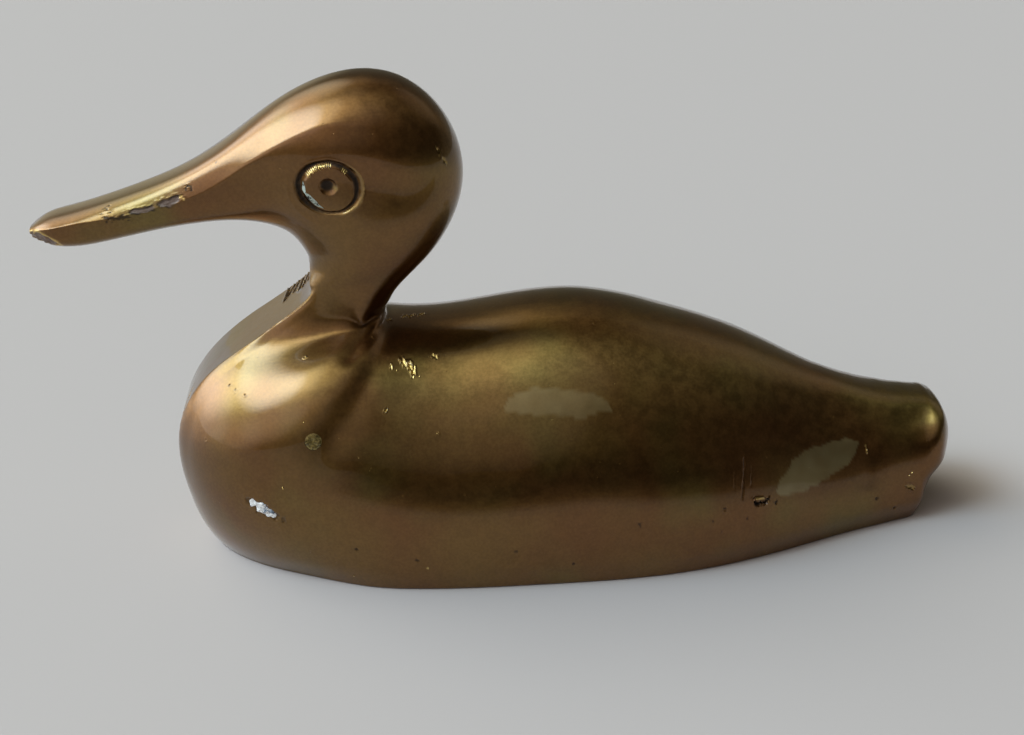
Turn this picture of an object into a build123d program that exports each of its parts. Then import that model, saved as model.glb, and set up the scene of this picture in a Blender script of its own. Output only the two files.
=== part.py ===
from build123d import *
import math
import os

# Brass duck, cast in two pieces and brazed together at the root of the neck.
# The bill points along -X and the tail along +X, Z is up, and the duck is alike
# on both sides of Y = 0. The origin is on the table, halfway from bill to tail.
# Millimetres and degrees.

# The whole duck
duck_length = 133.0
duck_height = 69.6
bill_width = 9.2
head_width = 19.4
neck_width = 13.2
body_width = 43.0
tail_width = 18.8

# The hollow body casting
wall = 3.0
seat_thickness = 4.0

# The head casting's spigot, and the brazing metal that holds it
spigot_diameter = 9.0
spigot_end = 4.0
spigot_chamfer = 0.8
braze_gap = 0.05
braze_leg = 2.4
braze_hollow_radius = 3.6

# The plugs in the two core pin holes
pin_diameter = 2.3
pin_gap = 0.02

# The eye, a ring cut by a hollow drill, with a punch mark at its middle
eye_diameter = 9.2
eye_groove_width = 1.3
eye_punch_diameter = 2.5
eye_punch_depth = 0.9
eye_tilt = 8

# How far a cutter or a spare end runs past the metal
overrun = 10.0

# Each section of the skin is a half outline, from a point on the duck's upper
# line down to a point on its lower line. Its row gives, in shares:
# x of the upper point, by the length; z of the upper point, by the height;
# x and z of the lower point in the same way; the half width, by the region's
# width; how far down the section is widest, by its depth; and the half width
# of the flat on the lower line, by the region's width. The last figure is the
# angle, in degrees, at which the side meets that flat.
BILL_SHARES = [
    (-0.500, 0.705, -0.500, 0.683, 0.15, 0.50, 0.05, 0),
    (-0.490, 0.719, -0.490, 0.678, 0.32, 0.50, 0.05, 0),
    (-0.464, 0.736, -0.464, 0.670, 0.46, 0.50, 0.05, 0),
    (-0.410, 0.766, -0.409, 0.684, 0.50, 0.55, 0.05, 0),
    (-0.348, 0.812, -0.341, 0.708, 0.53, 0.55, 0.05, 0),
    (-0.297, 0.870, -0.290, 0.715, 0.64, 0.57, 0.05, 0),
]
HEAD_SHARES = [
    (-0.246, 0.942, -0.256, 0.701, 0.39, 0.49, 0.03, 0),
    (-0.188, 0.993, -0.236, 0.679, 0.47, 0.46, 0.03, 0),
    (-0.127, 0.992, -0.225, 0.651, 0.50, 0.43, 0.04, 0),
    (-0.075, 0.910, -0.218, 0.628, 0.50, 0.42, 0.08, 10),
    (-0.058, 0.781, -0.214, 0.607, 0.46, 0.42, 0.15, 20),
]
NECK_SHARES = [
    (-0.086, 0.653, -0.213, 0.584, 0.57, 0.42, 0.34, 28),
    (-0.125, 0.568, -0.220, 0.559, 0.50, 0.42, 0.38, 32),
    (-0.139, 0.522, -0.247, 0.520, 0.50, 0.42, 0.40, 32),
    (-0.142, 0.504, -0.288, 0.465, 0.61, 0.40, 0.39, 30),
]
BREAST_SHARES = [
    (-0.143, 0.494, -0.339, 0.382, 0.280, 0.42, 0.090, 22),
    (-0.142, 0.488, -0.370, 0.259, 0.365, 0.45, 0.070, 10),
    (-0.140, 0.485, -0.366, 0.119, 0.415, 0.47, 0.050, 0),
    (-0.136, 0.484, -0.343, 0.000, 0.435, 0.47, 0.020, 0),
    (-0.132, 0.484, -0.304, -0.063, 0.455, 0.49, 0.020, 0),
    (-0.125, 0.484, -0.240, -0.119, 0.474, 0.53, 0.070, 0),
]
BODY_SHARES = [
    (-0.109, 0.484, -0.160, -0.154, 0.490, 0.58, 0.110, 0),
    (-0.058, 0.491, -0.058, -0.182, 0.500, 0.62, 0.160, 0),
    (0.051, 0.516, 0.051, -0.182, 0.500, 0.62, 0.160, 0),
    (0.159, 0.475, 0.159, -0.182, 0.473, 0.62, 0.140, 0),
    (0.261, 0.401, 0.261, -0.168, 0.391, 0.60, 0.110, 0),
    (0.348, 0.315, 0.348, -0.154, 0.286, 0.58, 0.090, 0),
]
TAIL_SHARES = [
    (0.413, 0.270, 0.413, -0.112, 0.50, 0.55, 0.16, 0),
    (0.450, 0.266, 0.450, -0.042, 0.44, 0.52, 0.16, 0),
    (0.474, 0.256, 0.474, 0.049, 0.39, 0.50, 0.10, 0),
    (0.485, 0.222, 0.485, 0.105, 0.27, 0.50, 0.05, 0),
]

# How full each region's outline is, above and below its widest place:
# 0.55 is an ellipse and more is squarer.
BILL_FULLNESS_SHARES = (0.78, 0.72)
HEAD_FULLNESS_SHARES = (0.58, 0.60)
NECK_FULLNESS_SHARES = (0.66, 0.62)
BREAST_FULLNESS_SHARES = (0.59, 0.54)
BODY_FULLNESS_SHARES = (0.58, 0.72)
TAIL_FULLNESS_SHARES = (0.70, 0.73)

# Places on the duck, by its length and its height
EYE_SHARES = (-0.192, 0.814)
EYE_FLOOR_SHARE = 0.430
PIN_SHARES = (-0.221, 0.329)

REGIONS = [
    (BILL_SHARES, bill_width, BILL_FULLNESS_SHARES),
    (HEAD_SHARES, head_width, HEAD_FULLNESS_SHARES),
    (NECK_SHARES, neck_width, NECK_FULLNESS_SHARES),
    (BREAST_SHARES, body_width, BREAST_FULLNESS_SHARES),
    (BODY_SHARES, body_width, BODY_FULLNESS_SHARES),
    (TAIL_SHARES, tail_width, TAIL_FULLNESS_SHARES),
]


def along_duck(share):
    """Where a share of the length lies, with the bill's tip and the tail's end
    half a length from the origin."""
    tip = BILL_SHARES[0][0]
    end = TAIL_SHARES[-1][0]
    return duck_length * ((share - tip) / (end - tip) - 1 / 2)


def stations(regions):
    """The rows of some regions as real sizes: upper point, lower point, half
    width, widest place, flat, crease angle and fullness."""
    rows = []
    for table, width, fullness in regions:
        for x_top, z_top, x_low, z_low, half, widest, flat, crease in table:
            top = Vector(along_duck(x_top), 0, z_top * duck_height)
            low = Vector(along_duck(x_low), 0, z_low * duck_height)
            rows.append((top, low, half * width, widest, flat * width, crease, fullness))
    return rows


def half_section(top, low, half, widest, flat, crease, fullness):
    """One half outline, closed along the plane of symmetry."""
    depth = (low - top).length
    along = (low - top).normalized()
    side = Vector(0, -1, 0)
    lower = depth * (1 - widest)
    reach = fullness[1] * (half - flat)
    back = reach * math.sin(math.radians(crease))
    out = reach * math.cos(math.radians(crease))
    shoulder = depth * widest
    with BuildSketch(Plane(origin=top, x_dir=along, z_dir=along.cross(side))) as section:
        with BuildLine():
            Bezier((0, 0), (0, fullness[0] * half), (shoulder * (1 - fullness[0]), half), (shoulder, half))
            Bezier((shoulder, half), (shoulder + lower * fullness[1], half), (depth - back, flat + out), (depth, flat))
            Line((depth, flat), (depth, 0))
            Line((depth, 0), (0, 0))
        make_face()
    return section.sketch


def core_section(top, low, half, widest, flat, crease, fullness):
    """The same outline one wall further in, for the hollow. Below the table
    the hollow runs on as far as the skin does."""
    along = (low - top).normalized()
    inner_top = top + along * wall
    inner_low = low - along * wall if low.Z >= 0 else low
    inner_half = half - wall
    return half_section(inner_top, inner_low, inner_half, widest, flat * inner_half / half, crease, fullness)


# The root of the neck, where the two castings meet, is the neck's last section.
root_top, root_low = stations([REGIONS[2]])[-1][:2]
root_along = (root_low - root_top).normalized()
root_plane = Plane(origin=(root_top + root_low) / 2, x_dir=root_along, z_dir=Vector(0, 1, 0).cross(root_along))
seat_plane = root_plane.offset(-seat_thickness)
spigot_radius = spigot_diameter / 2

# The outer skin of the whole duck, cut flat where it stands on the table.
with BuildPart() as skin:
    loft(sections=[half_section(*row) for row in stations(REGIONS)])
    mirror(about=Plane.XZ)
    split(bisect_by=Plane.XY, keep=Keep.TOP)

# The hollow, as the sand core that leaves it: open below, flat under the neck.
with BuildPart() as core:
    loft(sections=[core_section(*row) for row in stations(REGIONS[2:])[3:-3]])
    mirror(about=Plane.XZ)
    split(bisect_by=seat_plane, keep=Keep.BOTTOM)

# The head, bill and neck, cast solid with the spigot that enters the body.
eye_floor = EYE_FLOOR_SHARE * head_width
eye_out = Vector(0, -math.cos(math.radians(eye_tilt)), -math.sin(math.radians(eye_tilt)))
eye_plane = Plane(
    origin=(along_duck(EYE_SHARES[0]), -eye_floor, EYE_SHARES[1] * duck_height),
    x_dir=(1, 0, 0),
    z_dir=eye_out,
)
with BuildPart() as eye_cutter:
    with BuildSketch(eye_plane):
        Circle(eye_diameter / 2)
        Circle(eye_diameter / 2 - eye_groove_width, mode=Mode.SUBTRACT)
    extrude(amount=overrun)
    with BuildSketch(eye_plane.offset(eye_punch_depth)):
        Circle(eye_punch_diameter / 2)
    extrude(amount=eye_punch_depth)
    mirror(about=Plane.XZ)

with BuildPart() as head_and_neck:
    add(skin.part)
    split(bisect_by=root_plane, keep=Keep.TOP)
    with BuildSketch(root_plane):
        Circle(spigot_radius)
    extrude(amount=-(seat_thickness + spigot_end))
    spigot_tip = head_and_neck.edges().filter_by(GeomType.CIRCLE).sort_by(Axis.Z)[0]
    chamfer(spigot_tip, spigot_chamfer)
    add(eye_cutter.part, mode=Mode.SUBTRACT)

# The hollow body, open below, with the seat and bore for the spigot. The two
# core pin holes run straight through its sides.
pin_place = (along_duck(PIN_SHARES[0]), PIN_SHARES[1] * duck_height)
with BuildPart() as body_shell:
    add(skin.part)
    split(bisect_by=root_plane, keep=Keep.BOTTOM)
    add(core.part, mode=Mode.SUBTRACT)
    with BuildSketch(root_plane):
        Circle(spigot_radius + braze_gap)
    extrude(amount=-(seat_thickness + overrun), mode=Mode.SUBTRACT)
    with BuildSketch(Plane.XZ):
        with Locations(pin_place):
            Circle(pin_diameter / 2 + pin_gap)
    extrude(amount=body_width, both=True, mode=Mode.SUBTRACT)

# Brass plugs close the core pin holes, filed flush with the skin.
with BuildPart() as core_pin_plugs:
    with BuildSketch(Plane.XZ):
        with Locations(pin_place):
            Circle(pin_diameter / 2)
    extrude(amount=body_width, both=True)
    add(skin.part, mode=Mode.INTERSECT)
    add(core.part, mode=Mode.SUBTRACT)

# The ring of brazing metal runs round the spigot under the seat, inside the
# hollow, with the slightly hollow face that it cools to.
with BuildPart() as neck_braze:
    with BuildSketch(Plane(origin=seat_plane.origin, x_dir=root_along, z_dir=(0, 1, 0))):
        with BuildLine():
            Line((spigot_radius, -braze_leg), (spigot_radius, 0))
            Line((spigot_radius, 0), (spigot_radius + braze_leg, 0))
            RadiusArc((spigot_radius + braze_leg, 0), (spigot_radius, -braze_leg), braze_hollow_radius)
        make_face()
    revolve(axis=Axis(seat_plane.origin, seat_plane.z_dir))

os.makedirs("parts", exist_ok=True)

body_shell.part.label = "body_shell"
export_step(body_shell.part, "parts/body_shell.step")

head_and_neck.part.label = "head_and_neck"
export_step(head_and_neck.part, "parts/head_and_neck.step")

neck_braze.part.label = "neck_braze"
export_step(neck_braze.part, "parts/neck_braze.step")

core_pin_plugs.part.label = "core_pin_plugs"
export_step(core_pin_plugs.part, "parts/core_pin_plugs.step")
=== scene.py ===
"""A small brass duck: two castings, brazing metal, core pin plugs and a plain stage."""

import math
from types import SimpleNamespace

import bmesh
import bpy
import numpy as np
from bpy.props import FloatProperty, FloatVectorProperty, IntProperty, PointerProperty
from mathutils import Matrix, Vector
from mathutils.bvhtree import BVHTree


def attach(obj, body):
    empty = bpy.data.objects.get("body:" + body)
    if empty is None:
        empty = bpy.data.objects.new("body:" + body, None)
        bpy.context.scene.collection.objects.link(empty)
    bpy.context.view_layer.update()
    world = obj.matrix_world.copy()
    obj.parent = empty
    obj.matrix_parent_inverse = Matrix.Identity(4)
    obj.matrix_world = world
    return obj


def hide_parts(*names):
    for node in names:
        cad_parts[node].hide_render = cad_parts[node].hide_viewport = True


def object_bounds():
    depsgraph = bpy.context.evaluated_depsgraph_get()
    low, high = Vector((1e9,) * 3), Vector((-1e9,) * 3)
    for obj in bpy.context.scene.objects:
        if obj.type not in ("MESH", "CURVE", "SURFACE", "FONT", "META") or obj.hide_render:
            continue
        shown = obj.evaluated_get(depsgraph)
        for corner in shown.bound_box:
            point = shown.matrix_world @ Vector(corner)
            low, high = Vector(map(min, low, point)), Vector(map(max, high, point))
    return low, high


bl_info = {
    "name": "Brass Duck",
    "version": (1, 0, 0),
    "blender": (4, 5, 0),
    "location": "3D Viewport > Sidebar > Brass Duck",
    "description": "Models a cast brass duck around its solid parts, and a plain stage to show it on",
    "category": "Add Mesh",
}

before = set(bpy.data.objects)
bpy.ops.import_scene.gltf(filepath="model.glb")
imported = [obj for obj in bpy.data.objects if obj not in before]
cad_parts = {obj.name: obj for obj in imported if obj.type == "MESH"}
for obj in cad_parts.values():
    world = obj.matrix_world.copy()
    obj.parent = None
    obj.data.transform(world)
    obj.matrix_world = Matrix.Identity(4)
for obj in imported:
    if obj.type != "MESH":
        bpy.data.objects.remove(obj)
CAD_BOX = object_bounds()

# Lengths in this file are in millimetres until a mesh is made, and in metres after.
MM = 0.001

# The skin's half sections, as in the solids: x and z of the upper point, x and z
# of the lower point, half width, how far down it is widest, half width of the
# flat on the lower line, all as shares, and the angle of the side to the flat.
BILL_SHARES = [
    (-0.500, 0.705, -0.500, 0.683, 0.15, 0.50, 0.05, 0),
    (-0.490, 0.719, -0.490, 0.678, 0.32, 0.50, 0.05, 0),
    (-0.464, 0.736, -0.464, 0.670, 0.46, 0.50, 0.05, 0),
    (-0.410, 0.766, -0.409, 0.684, 0.50, 0.55, 0.05, 0),
    (-0.348, 0.812, -0.341, 0.708, 0.53, 0.55, 0.05, 0),
    (-0.297, 0.870, -0.290, 0.715, 0.64, 0.57, 0.05, 0),
]
HEAD_SHARES = [
    (-0.246, 0.942, -0.256, 0.701, 0.39, 0.49, 0.03, 0),
    (-0.188, 0.993, -0.236, 0.679, 0.47, 0.46, 0.03, 0),
    (-0.127, 0.992, -0.225, 0.651, 0.50, 0.43, 0.04, 0),
    (-0.075, 0.910, -0.218, 0.628, 0.50, 0.42, 0.08, 10),
    (-0.058, 0.781, -0.214, 0.607, 0.46, 0.42, 0.15, 20),
]
NECK_SHARES = [
    (-0.086, 0.653, -0.213, 0.584, 0.57, 0.42, 0.34, 28),
    (-0.125, 0.568, -0.220, 0.559, 0.50, 0.42, 0.38, 32),
    (-0.139, 0.522, -0.247, 0.520, 0.50, 0.42, 0.40, 32),
    (-0.142, 0.504, -0.288, 0.465, 0.61, 0.40, 0.39, 30),
]
BREAST_SHARES = [
    (-0.143, 0.494, -0.339, 0.382, 0.280, 0.42, 0.090, 22),
    (-0.142, 0.488, -0.370, 0.259, 0.365, 0.45, 0.070, 10),
    (-0.140, 0.485, -0.366, 0.119, 0.415, 0.47, 0.050, 0),
    (-0.136, 0.484, -0.343, 0.000, 0.435, 0.47, 0.020, 0),
    (-0.132, 0.484, -0.304, -0.063, 0.455, 0.49, 0.020, 0),
    (-0.125, 0.484, -0.240, -0.119, 0.474, 0.53, 0.070, 0),
]
BODY_SHARES = [
    (-0.109, 0.484, -0.160, -0.154, 0.490, 0.58, 0.110, 0),
    (-0.058, 0.491, -0.058, -0.182, 0.500, 0.62, 0.160, 0),
    (0.051, 0.516, 0.051, -0.182, 0.500, 0.62, 0.160, 0),
    (0.159, 0.475, 0.159, -0.182, 0.473, 0.62, 0.140, 0),
    (0.261, 0.401, 0.261, -0.168, 0.391, 0.60, 0.110, 0),
    (0.348, 0.315, 0.348, -0.154, 0.286, 0.58, 0.090, 0),
]
TAIL_SHARES = [
    (0.413, 0.270, 0.413, -0.112, 0.50, 0.55, 0.16, 0),
    (0.450, 0.266, 0.450, -0.042, 0.44, 0.52, 0.16, 0),
    (0.474, 0.256, 0.474, 0.049, 0.39, 0.50, 0.10, 0),
    (0.485, 0.222, 0.485, 0.105, 0.27, 0.50, 0.05, 0),
]
# Each region's rows, the size that its widths are shares of, and how full its
# outline is above and below its widest place: 0.55 is an ellipse.
REGIONS = [
    (BILL_SHARES, "bill_width", (0.78, 0.72)),
    (HEAD_SHARES, "head_width", (0.58, 0.60)),
    (NECK_SHARES, "neck_width", (0.66, 0.62)),
    (BREAST_SHARES, "body_width", (0.59, 0.54)),
    (BODY_SHARES, "body_width", (0.58, 0.72)),
    (TAIL_SHARES, "tail_width", (0.70, 0.73)),
]
ROOT_ROW = len(BILL_SHARES) + len(HEAD_SHARES) + len(NECK_SHARES) - 1
LAST_ROW = sum(len(region[0]) for region in REGIONS) - 1
LAST_HOLLOW_ROW = LAST_ROW - 3

EYE_SHARES = (-0.1942, 0.8105)
EYE_FLOOR_SHARE = 0.430
# The island inside the eye's ring and the punch mark are a little off the ring's own middle, in millimetres.
EYE_ISLAND_SHIFT = (0.12, -0.20)
EYE_PUNCH_SHIFT = (0.02, 0.22)
PIN_SHARES = (-0.221, 0.329)

# A turn runs round a section from 0, the duck's upper line, to 1 and -1, its
# lower line. These are the turns where the upper curve and the lower curve end.
UPPER_TURN = 0.42
LOWER_TURN = 0.90
# Steps over each of the three parts of half a section, the same on both castings,
# so that they meet exactly, and coarser ones for the hollow and for laying paths.
ROUND_STEPS = (38, 58, 8)
HOLLOW_ROUND_STEPS = (34, 60, 4)
LAYING_ROUND_STEPS = (38, 58, 4)
# How far apart the sections of the head, the body, the hollow and the skin that
# paths are laid on may be, and points closer than which are merged.
HEAD_STEP, BODY_STEP, HOLLOW_STEP, LAYING_STEP = 0.52, 0.60, 1.0, 0.5
MERGE_DISTANCE = 0.002

# What a mesh's points carry: their place on the skin while it is made, and what their metal looks like,
# painted shade, painted highlights and a painted window reflection included.
PLACE_LAYERS = ("place", "cosine", "sine")
MARKS = ("grime", "fresh", "oxide", "raw", "haze")

# Faces that meet more sharply than this keep their edge when they are shaded.
EDGE_ANGLE = math.radians(55)


def linear(hex_colour):
    """An sRGB hex colour as linear red, green and blue."""
    channels = [int(hex_colour[i:i + 2], 16) / 255 for i in (1, 3, 5)]
    return [c / 12.92 if c <= 0.04045 else ((c + 0.055) / 1.055) ** 2.4 for c in channels]


def size_property(name, description, millimetres):
    return FloatProperty(name=name, description=description, default=millimetres * MM, unit="LENGTH",
                         precision=5, min=0.0)


def angle_property(name, description, degrees):
    return FloatProperty(name=name, description=description, default=math.radians(degrees), subtype="ANGLE")


def colour_property(name, description, hex_colour):
    return FloatVectorProperty(name=name, description=description, default=linear(hex_colour),
                               subtype="COLOR", size=3, min=0.0, max=1.0)


class DuckSizes(bpy.types.PropertyGroup):
    length: size_property("Length", "From the bill's tip to the tail", (CAD_BOX[1].x - CAD_BOX[0].x) / MM)
    height: size_property("Height", "From the table to the crown", (CAD_BOX[1].z - CAD_BOX[0].z) / MM)
    bill_width: size_property("Bill width", "Width of the bill halfway", 9.2)
    head_width: size_property("Head width", "Width across the cheeks", 19.4)
    neck_width: size_property("Neck width", "Width of the neck", 13.2)
    body_width: size_property("Body width", "Width of the body", 43.0)
    tail_width: size_property("Tail width", "Width of the tail", 18.8)
    wall: size_property("Wall", "Thickness of the hollow body's metal", 3.0)
    seat_thickness: size_property("Seat thickness", "Metal under the root of the neck", 4.0)
    spigot_diameter: size_property("Spigot diameter", "The head's spigot, which enters the body", 9.0)
    spigot_end: size_property("Spigot end", "How far the spigot passes the seat", 4.0)
    spigot_chamfer: size_property("Spigot chamfer", "Chamfer at the spigot's end", 0.8)
    bore_gap: size_property("Bore gap", "Room round the spigot in its bore", 0.05)
    braze_leg: size_property("Braze leg", "Size of the brazing metal's fillet", 2.4)
    pin_diameter: size_property("Pin diameter", "Core pin plugs", 2.3)
    pin_gap: size_property("Pin gap", "Room round a plug", 0.02)
    eye_diameter: size_property("Eye diameter", "Outside of the ring cut round the eye", 9.3)
    eye_island: size_property("Eye island", "Diameter of the metal left inside the ring", 6.3)
    eye_punch_diameter: size_property("Eye punch diameter", "Punch mark at the middle of the eye", 2.5)
    eye_flatness: FloatProperty(name="Eye flatness", description="Height of the eye's ring over its width",
                                default=0.86, subtype="FACTOR", min=0.5, max=1.0)
    eye_tilt: angle_property("Eye tilt", "How far the eye looks down", 8)


class DuckColours(bpy.types.PropertyGroup):
    toned_brass: colour_property("Toned brass", "Satin brass that has darkened evenly", "#775A31")
    warm_tone: colour_property("Warm tone", "Redder clouds in the brass", "#73502D")
    olive_tone: colour_property("Olive tone", "Greener clouds in the brass", "#736033")
    # This colour also paints highlights on the lit walls of the eyes' cuts.
    fresh_brass: colour_property("Fresh brass", "Metal bared by a file or a knock", "#D9B96F")
    # This colour also paints the shade in the eyes' grooves and punch marks.
    tarnish_and_shade: colour_property("Tarnish", "Black tarnish in cuts and pits", "#1A120B")
    # This colour paints a window's reflection, in two patches on the right flank and the tail.
    painted_reflection: colour_property("Film", "Thin greenish film on the flank and tail", "#8C7D56")
    oxide: colour_property("Oxide", "Mauve grey skin of the casting, where no file reached", "#75645C")
    raw_brass: colour_property("Raw brass", "The casting as it left the sand, inside the hollow", "#6F5733")
    plug_brass: colour_property("Plug brass", "Core pin plugs", "#978650")
    brazing_metal: colour_property("Brazing metal", "Paler brass that joins the castings", "#C9A765")
    filler: colour_property("Filler", "White filler in the chip", "#D9D8D6")
    filler_core: colour_property("Filler core", "Grey blue middle of the filler", "#6F7A88")
    residue: colour_property("Residue", "Dried polish in the eye's groove", "#AEB8AE")


class StageSettings(bpy.types.PropertyGroup):
    floor_colour: colour_property("Floor colour", "The plain floor", "#B6AEAC")
    room_strength: FloatProperty(name="Room strength", description="Brightness of the room's light",
                                 default=1.0, min=0.0)
    camera_elevation: angle_property("Camera elevation", "Above the table", 26)
    camera_azimuth: angle_property("Camera azimuth", "From square on, towards the tail", -5)
    camera_distance: size_property("Camera distance", "From the duck's middle", 221.1)
    camera_height: size_property("Aim height", "Height that the camera aims at", 24.45)
    view_angle: angle_property("View angle", "Camera's horizontal field of view", 38)


class MarkSettings(bpy.types.PropertyGroup):
    seed: IntProperty(name="Seed", description="Which random waves and burrs the castings have", default=7)
    undulation: size_property("Undulation", "Height of the waves that hand filing left", 0.025)
    file_pitch: size_property("File pitch", "Distance between the file's cuts on the neck", 1.0)
    chatter_pitch: size_property("Chatter pitch", "Distance between the drill's chatter marks", 0.26)


def lengths(scene):
    """The sizes in the sidebar, in millimetres, and the angles as they are."""
    found = {}
    for group in (scene.duck_sizes, scene.duck_marks):
        for item in group.bl_rna.properties:
            if item.identifier not in {"rna_type", "name"}:
                value = getattr(group, item.identifier)
                found[item.identifier] = value / MM if item.unit == "LENGTH" else value
    return SimpleNamespace(**found)


# Skin: the rows as numbers, and a smooth surface through them.


def along_duck(size, share):
    """Where a share of the length lies, with the tip and the tail half a length from the origin."""
    tip = BILL_SHARES[0][0]
    return size.length * ((share - tip) / (TAIL_SHARES[-1][0] - tip) - 0.5)


def skin_rows(size):
    """Ten numbers for each section: x and z of the upper point, x and z of the
    lower point, half width, widest place, flat, crease angle and fullnesses."""
    rows = []
    for table, width_name, fullness in REGIONS:
        width = getattr(size, width_name)
        for x_top, z_top, x_low, z_low, half, widest, flat, crease in table:
            rows.append((along_duck(size, x_top), z_top * size.height,
                         along_duck(size, x_low), z_low * size.height,
                         half * width, widest, flat * width, math.radians(crease), *fullness))
    return np.array(rows)


def hollow_rows(size):
    """The rows of the hollow, one wall further in than the skin's."""
    rows = skin_rows(size)[ROOT_ROW:LAST_HOLLOW_ROW + 1].copy()
    along = rows[:, 2:4] - rows[:, 0:2]
    along /= np.linalg.norm(along, axis=1)[:, None]
    above = (rows[:, 3] >= 0)[:, None]
    inner_half = rows[:, 4] - size.wall
    rows[:, 6] *= inner_half / rows[:, 4]
    rows[:, 4] = inner_half
    rows[:, 0:2] += along * size.wall
    rows[:, 2:4] -= along * size.wall * above
    return rows


def row_knots(rows):
    """A place for each row along the duck, by how far its ends move."""
    return np.concatenate([[0], np.cumsum(np.linalg.norm(np.diff(rows[:, :4], axis=0), axis=1) + 1e-6)])


def cubic_through(knots, values, at):
    """A natural cubic spline through the values at the knots, read at some places."""
    n = len(knots)
    step = np.diff(knots)
    slope = np.diff(values, axis=0) / step[:, None]
    matrix = np.eye(n)
    right = np.zeros_like(values)
    for i in range(1, n - 1):
        matrix[i, i - 1:i + 2] = step[i - 1], 2 * (step[i - 1] + step[i]), step[i]
        right[i] = 6 * (slope[i] - slope[i - 1])
    bend = np.linalg.solve(matrix, right)
    i = np.clip(np.searchsorted(knots, at, side="right") - 1, 0, n - 2)
    h = step[i][:, None]
    a = (knots[i + 1] - at)[:, None] / h
    b = 1 - a
    curve = (a ** 3 - a) * bend[i] + (b ** 3 - b) * bend[i + 1]
    return a * values[i] + b * values[i + 1] + curve * h ** 2 / 6


def bezier(p0, p1, p2, p3, t):
    return (1 - t) ** 3 * p0 + 3 * (1 - t) ** 2 * t * p1 + 3 * (1 - t) * t ** 2 * p2 + t ** 3 * p3


def skin_points(knots, rows, section, turn):
    """Points of the skin, each at a place along the knots and a turn round the section."""
    r = cubic_through(knots, rows, section)
    top, line = r[:, 0:2], r[:, 2:4] - r[:, 0:2]
    half, flat, crease, full_up, full_low = r[:, 4], r[:, 6], r[:, 7], r[:, 8], r[:, 9]
    depth = np.linalg.norm(line, axis=1)
    shoulder = depth * r[:, 5]
    reach = full_low * (half - flat)
    s = np.abs(turn)
    up = np.clip(s / UPPER_TURN, 0, 1)
    down = np.clip((s - UPPER_TURN) / (LOWER_TURN - UPPER_TURN), 0, 1)
    level = np.clip((s - LOWER_TURN) / (1 - LOWER_TURN), 0, 1)
    along = np.where(s <= UPPER_TURN, bezier(0, 0, shoulder * (1 - full_up), shoulder, up),
                     bezier(shoulder, shoulder + (depth - shoulder) * full_low,
                            depth - reach * np.sin(crease), depth, down))
    out = np.where(s <= UPPER_TURN, bezier(0, full_up * half, half, half, up),
                   bezier(half, half, flat + reach * np.cos(crease), flat, down) * (1 - level))
    xz = top + line * (along / depth)[:, None]
    return np.column_stack([xz[:, 0], np.sign(turn) * out, xz[:, 1]])


def skin_grid(knots, rows, places, turns):
    """The place, the turn and the point of every crossing of some sections and turns."""
    section, turn = np.repeat(places, len(turns)), np.tile(turns, len(places))
    return section, turn, skin_points(knots, rows, section, turn)


def skin_normals(knots, rows, section, turn, points):
    """Outward directions of the skin at its points."""
    lengthwise, round_about = (skin_points(knots, rows, section + step, turn + slight)
                               - skin_points(knots, rows, section - step, turn - slight)
                               for step, slight in ((0.01, 0), (0, 0.001)))
    normal = np.cross(lengthwise, round_about)
    normal /= np.maximum(np.linalg.norm(normal, axis=1), 1e-12)[:, None]
    r = cubic_through(knots, rows, section)
    middle = np.column_stack([(r[:, 0] + r[:, 2]) / 2, np.zeros(len(r)), (r[:, 1] + r[:, 3]) / 2])
    return normal * np.sign((normal * (points - middle)).sum(axis=1))[:, None]


def section_places(knots, rows, first, last, step):
    """Places along the knots from one row to another, as far apart as the step
    where the skin moves most."""
    fine = np.concatenate([*(np.linspace(knots[i], knots[i + 1], 12, endpoint=False)
                             for i in range(first, last)), knots[last:last + 1]])
    reach = np.zeros(len(fine) - 1)
    for turn in (0.0, 0.2, UPPER_TURN, 0.6, 0.75, LOWER_TURN, 1.0):
        line = skin_points(knots, rows, fine, np.full(len(fine), turn))
        move = np.linalg.norm(np.diff(line, axis=0), axis=1)
        reach = np.maximum(reach, move * (line[1:, 2] > -1))
    run = np.concatenate([[0], np.cumsum(np.maximum(reach, 1e-4))])
    count = max(2, round(run[-1] / step))
    return np.interp(np.linspace(0, run[-1], count + 1), run, fine)


def closer_at(places, end):
    """The same places with a few more, ever closer, at one end, so that shading
    runs on across the joint there."""
    last, before = (places[0], places[1]) if end == 0 else (places[-1], places[-2])
    return np.sort(np.concatenate([places, last + (before - last) * 0.5 ** np.arange(1, 5)]))


def ring_turns(upper, lower, level):
    """Turns once round a section, from the upper line by the duck's right and back by its left."""
    half = np.concatenate([np.linspace(0, UPPER_TURN, upper, endpoint=False),
                           np.linspace(UPPER_TURN, LOWER_TURN, lower, endpoint=False),
                           np.linspace(LOWER_TURN, 1, level + 1)])
    return np.concatenate([-half, half[-2:0:-1]])


# Mesh: a grid of the skin, finer round its details.


def grid_faces(rings, round_count):
    """The quads of a tube of rings."""
    i = np.arange(rings - 1)[:, None] * round_count
    j = np.arange(round_count)[None, :]
    k = (j + 1) % round_count
    return np.stack([i + j, i + k, i + k + round_count, i + j + round_count], axis=-1).reshape(-1, 4)


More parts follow.
